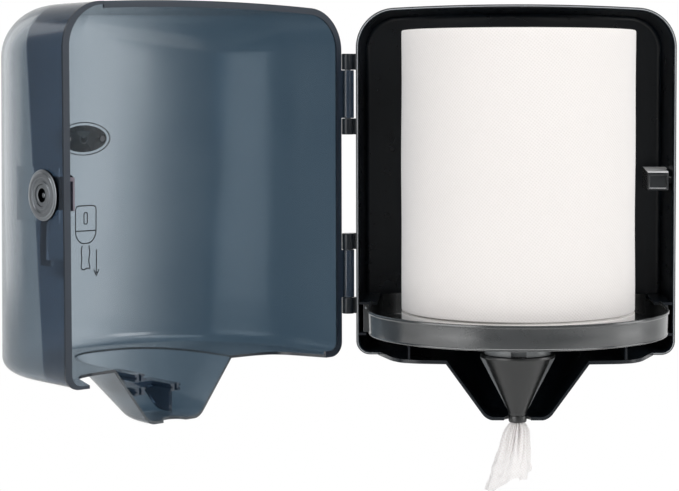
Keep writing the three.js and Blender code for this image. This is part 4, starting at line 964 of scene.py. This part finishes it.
def funnel():
    """Funnel, collar and nozzle, turned about the spout's upright axis, with a fin down each side."""
    hollow, seat = 6.9, -186.6
    foot, foot_z, mouth, mouth_z = 7.5, -189, 28, -143.2
    line = [(7.3, -191.6), (foot, foot_z), (mouth, mouth_z), (31, mouth_z), (31, -140.6), (26.1, -140.6),
            (hollow, seat), (hollow, -191.6)]
    cone = turned(softened(line, 0.5, 3), (0, SPLIT), steps=120)
    fins = []
    for s in (-1, 1):
        outline = [(s * 26.8, -142.2), (s * 31, -142.2), (s * 31, -143.6), (s * 8.6, seat), (s * 7.0, seat)]
        fins.append(prism(outline, SPLIT - 0.8, SPLIT + 0.8, "y"))
    made = loose("funnel_moulding", [cone])
    carved(made, "UNION", *fins)
    finished(made, "funnel", [DARK, COLLAR], ("funnel",), angle=30, bevel=0.2)
    # The fins' outer faces take the lighter grey: a painted highlight
    x, y, z = face_values(made, "center")
    cone_radius = foot + (mouth - foot) * (z - foot_z) / (mouth_z - foot_z)
    painted(made, (np.abs(y - SPLIT) < 1.1) & (np.abs(x) > cone_radius + 0.2) & (z < mouth_z - 0.1))
    line = [(23.2, -140.3), (27.6, -140.3), (27.6, -135.2), (26.5, -135.2), (26.5, -136.9), (23.2, -136.9)]
    ring = loose("funnel_collar_ring", [turned(softened(line, 0.35, 3), (0, SPLIT), steps=120)])
    carved(ring, "DIFFERENCE", block(-6.2, 6.2, SPLIT - 29.6, SPLIT - 23.5, -142, -135.8))
    finished(ring, "funnel", COLLAR, ("funnel_collar",), angle=30, bevel=0.2)
    line = [(5.6, -197.3), (7.1, -197.3), (7.5, -196.6), (7.5, -191.9), (6.6, -191.9), (6.6, -186.9),
            (5.6, -186.9)]
    tip = loose("nozzle_lip", [turned(softened(line, 0.35, 3), (0, SPLIT))])
    finished(tip, "funnel", DARK, ("nozzle_tip",), angle=30)


def hinge_pins():
    """The two upright pins of the hinge."""
    for name, top in zip(("upper", "lower"), PIN_TOPS):
        shank = rod(2.4, top - 68.6, top, (HINGE_X, RIM), steps=40, soft=0.5)
        pin = loose(f"hinge_pin_{name}_steel", [shank])
        finished(pin, "housing", STEEL, (f"hinge_pin_{name}",))


# ---------------------------------------------------------------- printed mark
def stroke(line, width):
    """A ribbon along a line of (x, z) places: each place moved half the width to both sides."""
    p = np.asarray(line, float)
    d = np.gradient(p, axis=0)
    d /= np.maximum(np.linalg.norm(d, axis=1), 1e-9)[:, None]
    n = np.stack([-d[:, 1], d[:, 0]], -1) * width / 2
    return p - n, p + n


def dense(line, step=1.0, closed=False):
    """A line with places every step millimetres."""
    p = np.asarray(line, float)
    if closed:
        p = np.concatenate([p, p[:1]])
    length = np.concatenate([[0], np.cumsum(np.linalg.norm(np.diff(p, axis=0), axis=1))])
    at = np.linspace(0, length[-1], max(3, int(length[-1] / step)))
    return np.stack([np.interp(at, length, p[:, 0]), np.interp(at, length, p[:, 1])], -1)


def pull_mark():
    """A plain sign for pulling the sheet down, printed inside the door's front: a box seen from in front
    with a sheet below it, and an arrow at the sheet's side. Ribbons that lie on the inner front face."""
    box = softened([(-12, -24), (9, -24), (9, -50), (4, -57), (-7, -57), (-12, -50)], 4, 5)
    sheet = [(-5, -59), (-6, -66), (-4.6, -72), (-6.4, -80), (-3, -78.4), (0, -80.6), (3.2, -78.6),
             (2.2, -70), (3, -64), (2, -59)]
    window = softened([(-3.2, -30), (0.2, -30), (0.2, -40), (-3.2, -40)], 1.5, 4)
    shaft, head = [(-12.5, -63), (-12.5, -84)], [(-15, -80.5), (-12.5, -86), (-10, -80.5)]
    lines = [dense(box, 0.8, True), dense([(-12, -46), (9, -46)], 1),
             dense(softened(sheet, 2, 4, False), 0.8), dense(shaft, 1), dense(head, 0.8),
             dense(window, 0.6, True)]
    skins = []
    for line in lines:
        a, b = stroke(line, 1.05)
        rows = []
        for side, lift in ((a, 0.02), (b, 0.02), (b, -0.06), (a, -0.06)):
            f = door_front(side[:, 0], side[:, 1], WALL + 0.01 + lift)
            rows.append(np.stack([side[:, 0], RIM - f, side[:, 1]], -1))
        skins.append(skin(np.stack(rows, 1)))
    made = loose("pull_mark_print", skins)
    placed(made, swung)
    finished(made, "door", INK, ())


# ---------------------------------------------------------------- the room
def lamp(name, energy, size, place, aim):
    """A soft box: a rectangular white lamp at place that points at aim."""
    light = bpy.data.lights.new(name, "AREA")
    light.shape = "RECTANGLE"
    light.size, light.size_y = size
    light.energy = energy
    made = added(name, light)
    made.location = place
    direction = np.array(aim, float) - np.array(place, float)
    made.rotation_euler = Vector(direction).to_track_quat("-Z", "Y").to_euler()


def studio():
    """A pale floor that curves up into a backdrop, and soft lamps. The camera looks past both to the white
    of the world, so that the part can be seen from behind and below too. Rays through the smoke plastic
    see the backdrop glow with painted light, white on the left, falling to a painted dark blue shade on the
    right."""
    made, tree = blank("studio_paper")
    path = node(tree, "LightPath")
    across = node(tree, "SeparateXYZ", links={0: node(tree, "TexCoord").outputs["Object"]})
    # Painted light and shade for rays through the plastic: white on the left, dark blue on the right
    right = node(tree, "MapRange", {"From Min": -0.68, "From Max": -0.5, "To Min": 1.0, "To Max": 0.0},
                 {"Value": across.outputs[0]}, interpolation_type="SMOOTHSTEP")
    left = node(tree, "MapRange", {"From Min": -0.78, "From Max": -0.71, "To Min": 0.1, "To Max": 1.0},
                {"Value": across.outputs[0]}, interpolation_type="SMOOTHSTEP")
    dim = node(tree, "Math", links={0: right.outputs[0], 1: left.outputs[0]}, operation="MULTIPLY")
    grain = node(tree, "TexNoise", {"Scale": 30.0})
    tone = node(tree, "MixRGB", {1: linear("#F2F2F1"), 2: linear("#F6F6F5")}, {0: grain.outputs["Fac"]})
    plain = node(tree, "BsdfDiffuse", links={"Color": tone.outputs[0]})
    lit = node(tree, "MixRGB", {1: (0.045, 0.09, 0.13, 1), 2: (1, 1, 1, 1)}, {0: dim.outputs[0]})
    through = node(tree, "Emission", {"Strength": 1.0}, {"Color": lit.outputs[0]})
    mix = node(tree, "MixShader", links={
        0: path.outputs["Is Transmission Ray"], 1: plain.outputs[0], 2: through.outputs[0]})
    node(tree, "OutputMaterial", links={"Surface": mix.outputs[0]})
    t = np.linspace(0, np.pi / 2, 13)
    floor, wall, bend = -0.42, 1.4, 0.5
    path_y = np.concatenate([[-1.2], wall - bend + bend * np.sin(t), [wall]])
    path_z = np.concatenate([[floor], floor + bend * (1 - np.cos(t)), [2.2]])
    x = np.array([-2.6, 2.6])[:, None]
    points = np.stack(np.broadcast_arrays(x, path_y, path_z), -1)
    mesh = bpy.data.meshes.new("studio_sweep")
    mesh.from_pydata(points.reshape(-1, 3).tolist(), [], quads(2, len(path_y), wrap=False).tolist())
    sweep = added("studio_sweep", mesh)
    mesh.materials.append(made)
    mesh.shade_smooth()
    sweep.visible_camera = False
    world = bpy.data.worlds.new("studio_air")
    bpy.context.scene.world = world
    world.use_nodes = True
    tree = world.node_tree
    tree.nodes.clear()
    path = node(tree, "LightPath")
    soft = node(tree, "Background", {"Color": (0.95, 0.97, 1, 1), "Strength": 0.2})
    white = node(tree, "Background", {"Color": (1, 1, 1, 1), "Strength": 1.0})
    mix = node(tree, "MixShader", links={
        0: path.outputs["Is Camera Ray"], 1: soft.outputs[0], 2: white.outputs[0]})
    node(tree, "OutputWorld", links={"Surface": mix.outputs[0]})
    lamp("key_right", 17.5, (1.2, 1.3), (1.35, -1.6, 0.75), (-0.05, -0.15, 0))
    lamp("side_right", 12, (1.0, 1.6), (1.9, -0.3, 0.2), (0, -0.15, 0))
    lamp("fill_left", 27, (1.8, 1.9), (-1.6, -1.5, 0.35), (0, -0.15, 0))
    lamp("rim_left", 4.5, (1.1, 1.3), (-1.7, 0.85, 0.35), (-0.35, 0, 0))
    lamp("top", 12, (1.3, 0.8), (0.05, -0.8, 1.7), (0, -0.12, 0))


housing()
door()
badge()
badge_pin(-1, "badge_pin_left_steel", "badge_pin_left")
badge_pin(1, "badge_pin_right_steel", "badge_pin_right")
lock_parts()
tray()
paper_roll()
paper_tail()
funnel()
hinge_pins()
pull_mark()
catch()
yoke()
refined("latch_hook", "latch_hook_plate", "lock", STEEL, 0.25)
refined("barrel_clip", "barrel_clip_spring", "lock", STEEL, 0.15)
refined("lock_bracket", "lock_bracket_plate", "door", DULL_STEEL, 0.4)
studio()

bpy.context.scene.view_settings.view_transform = "Standard"
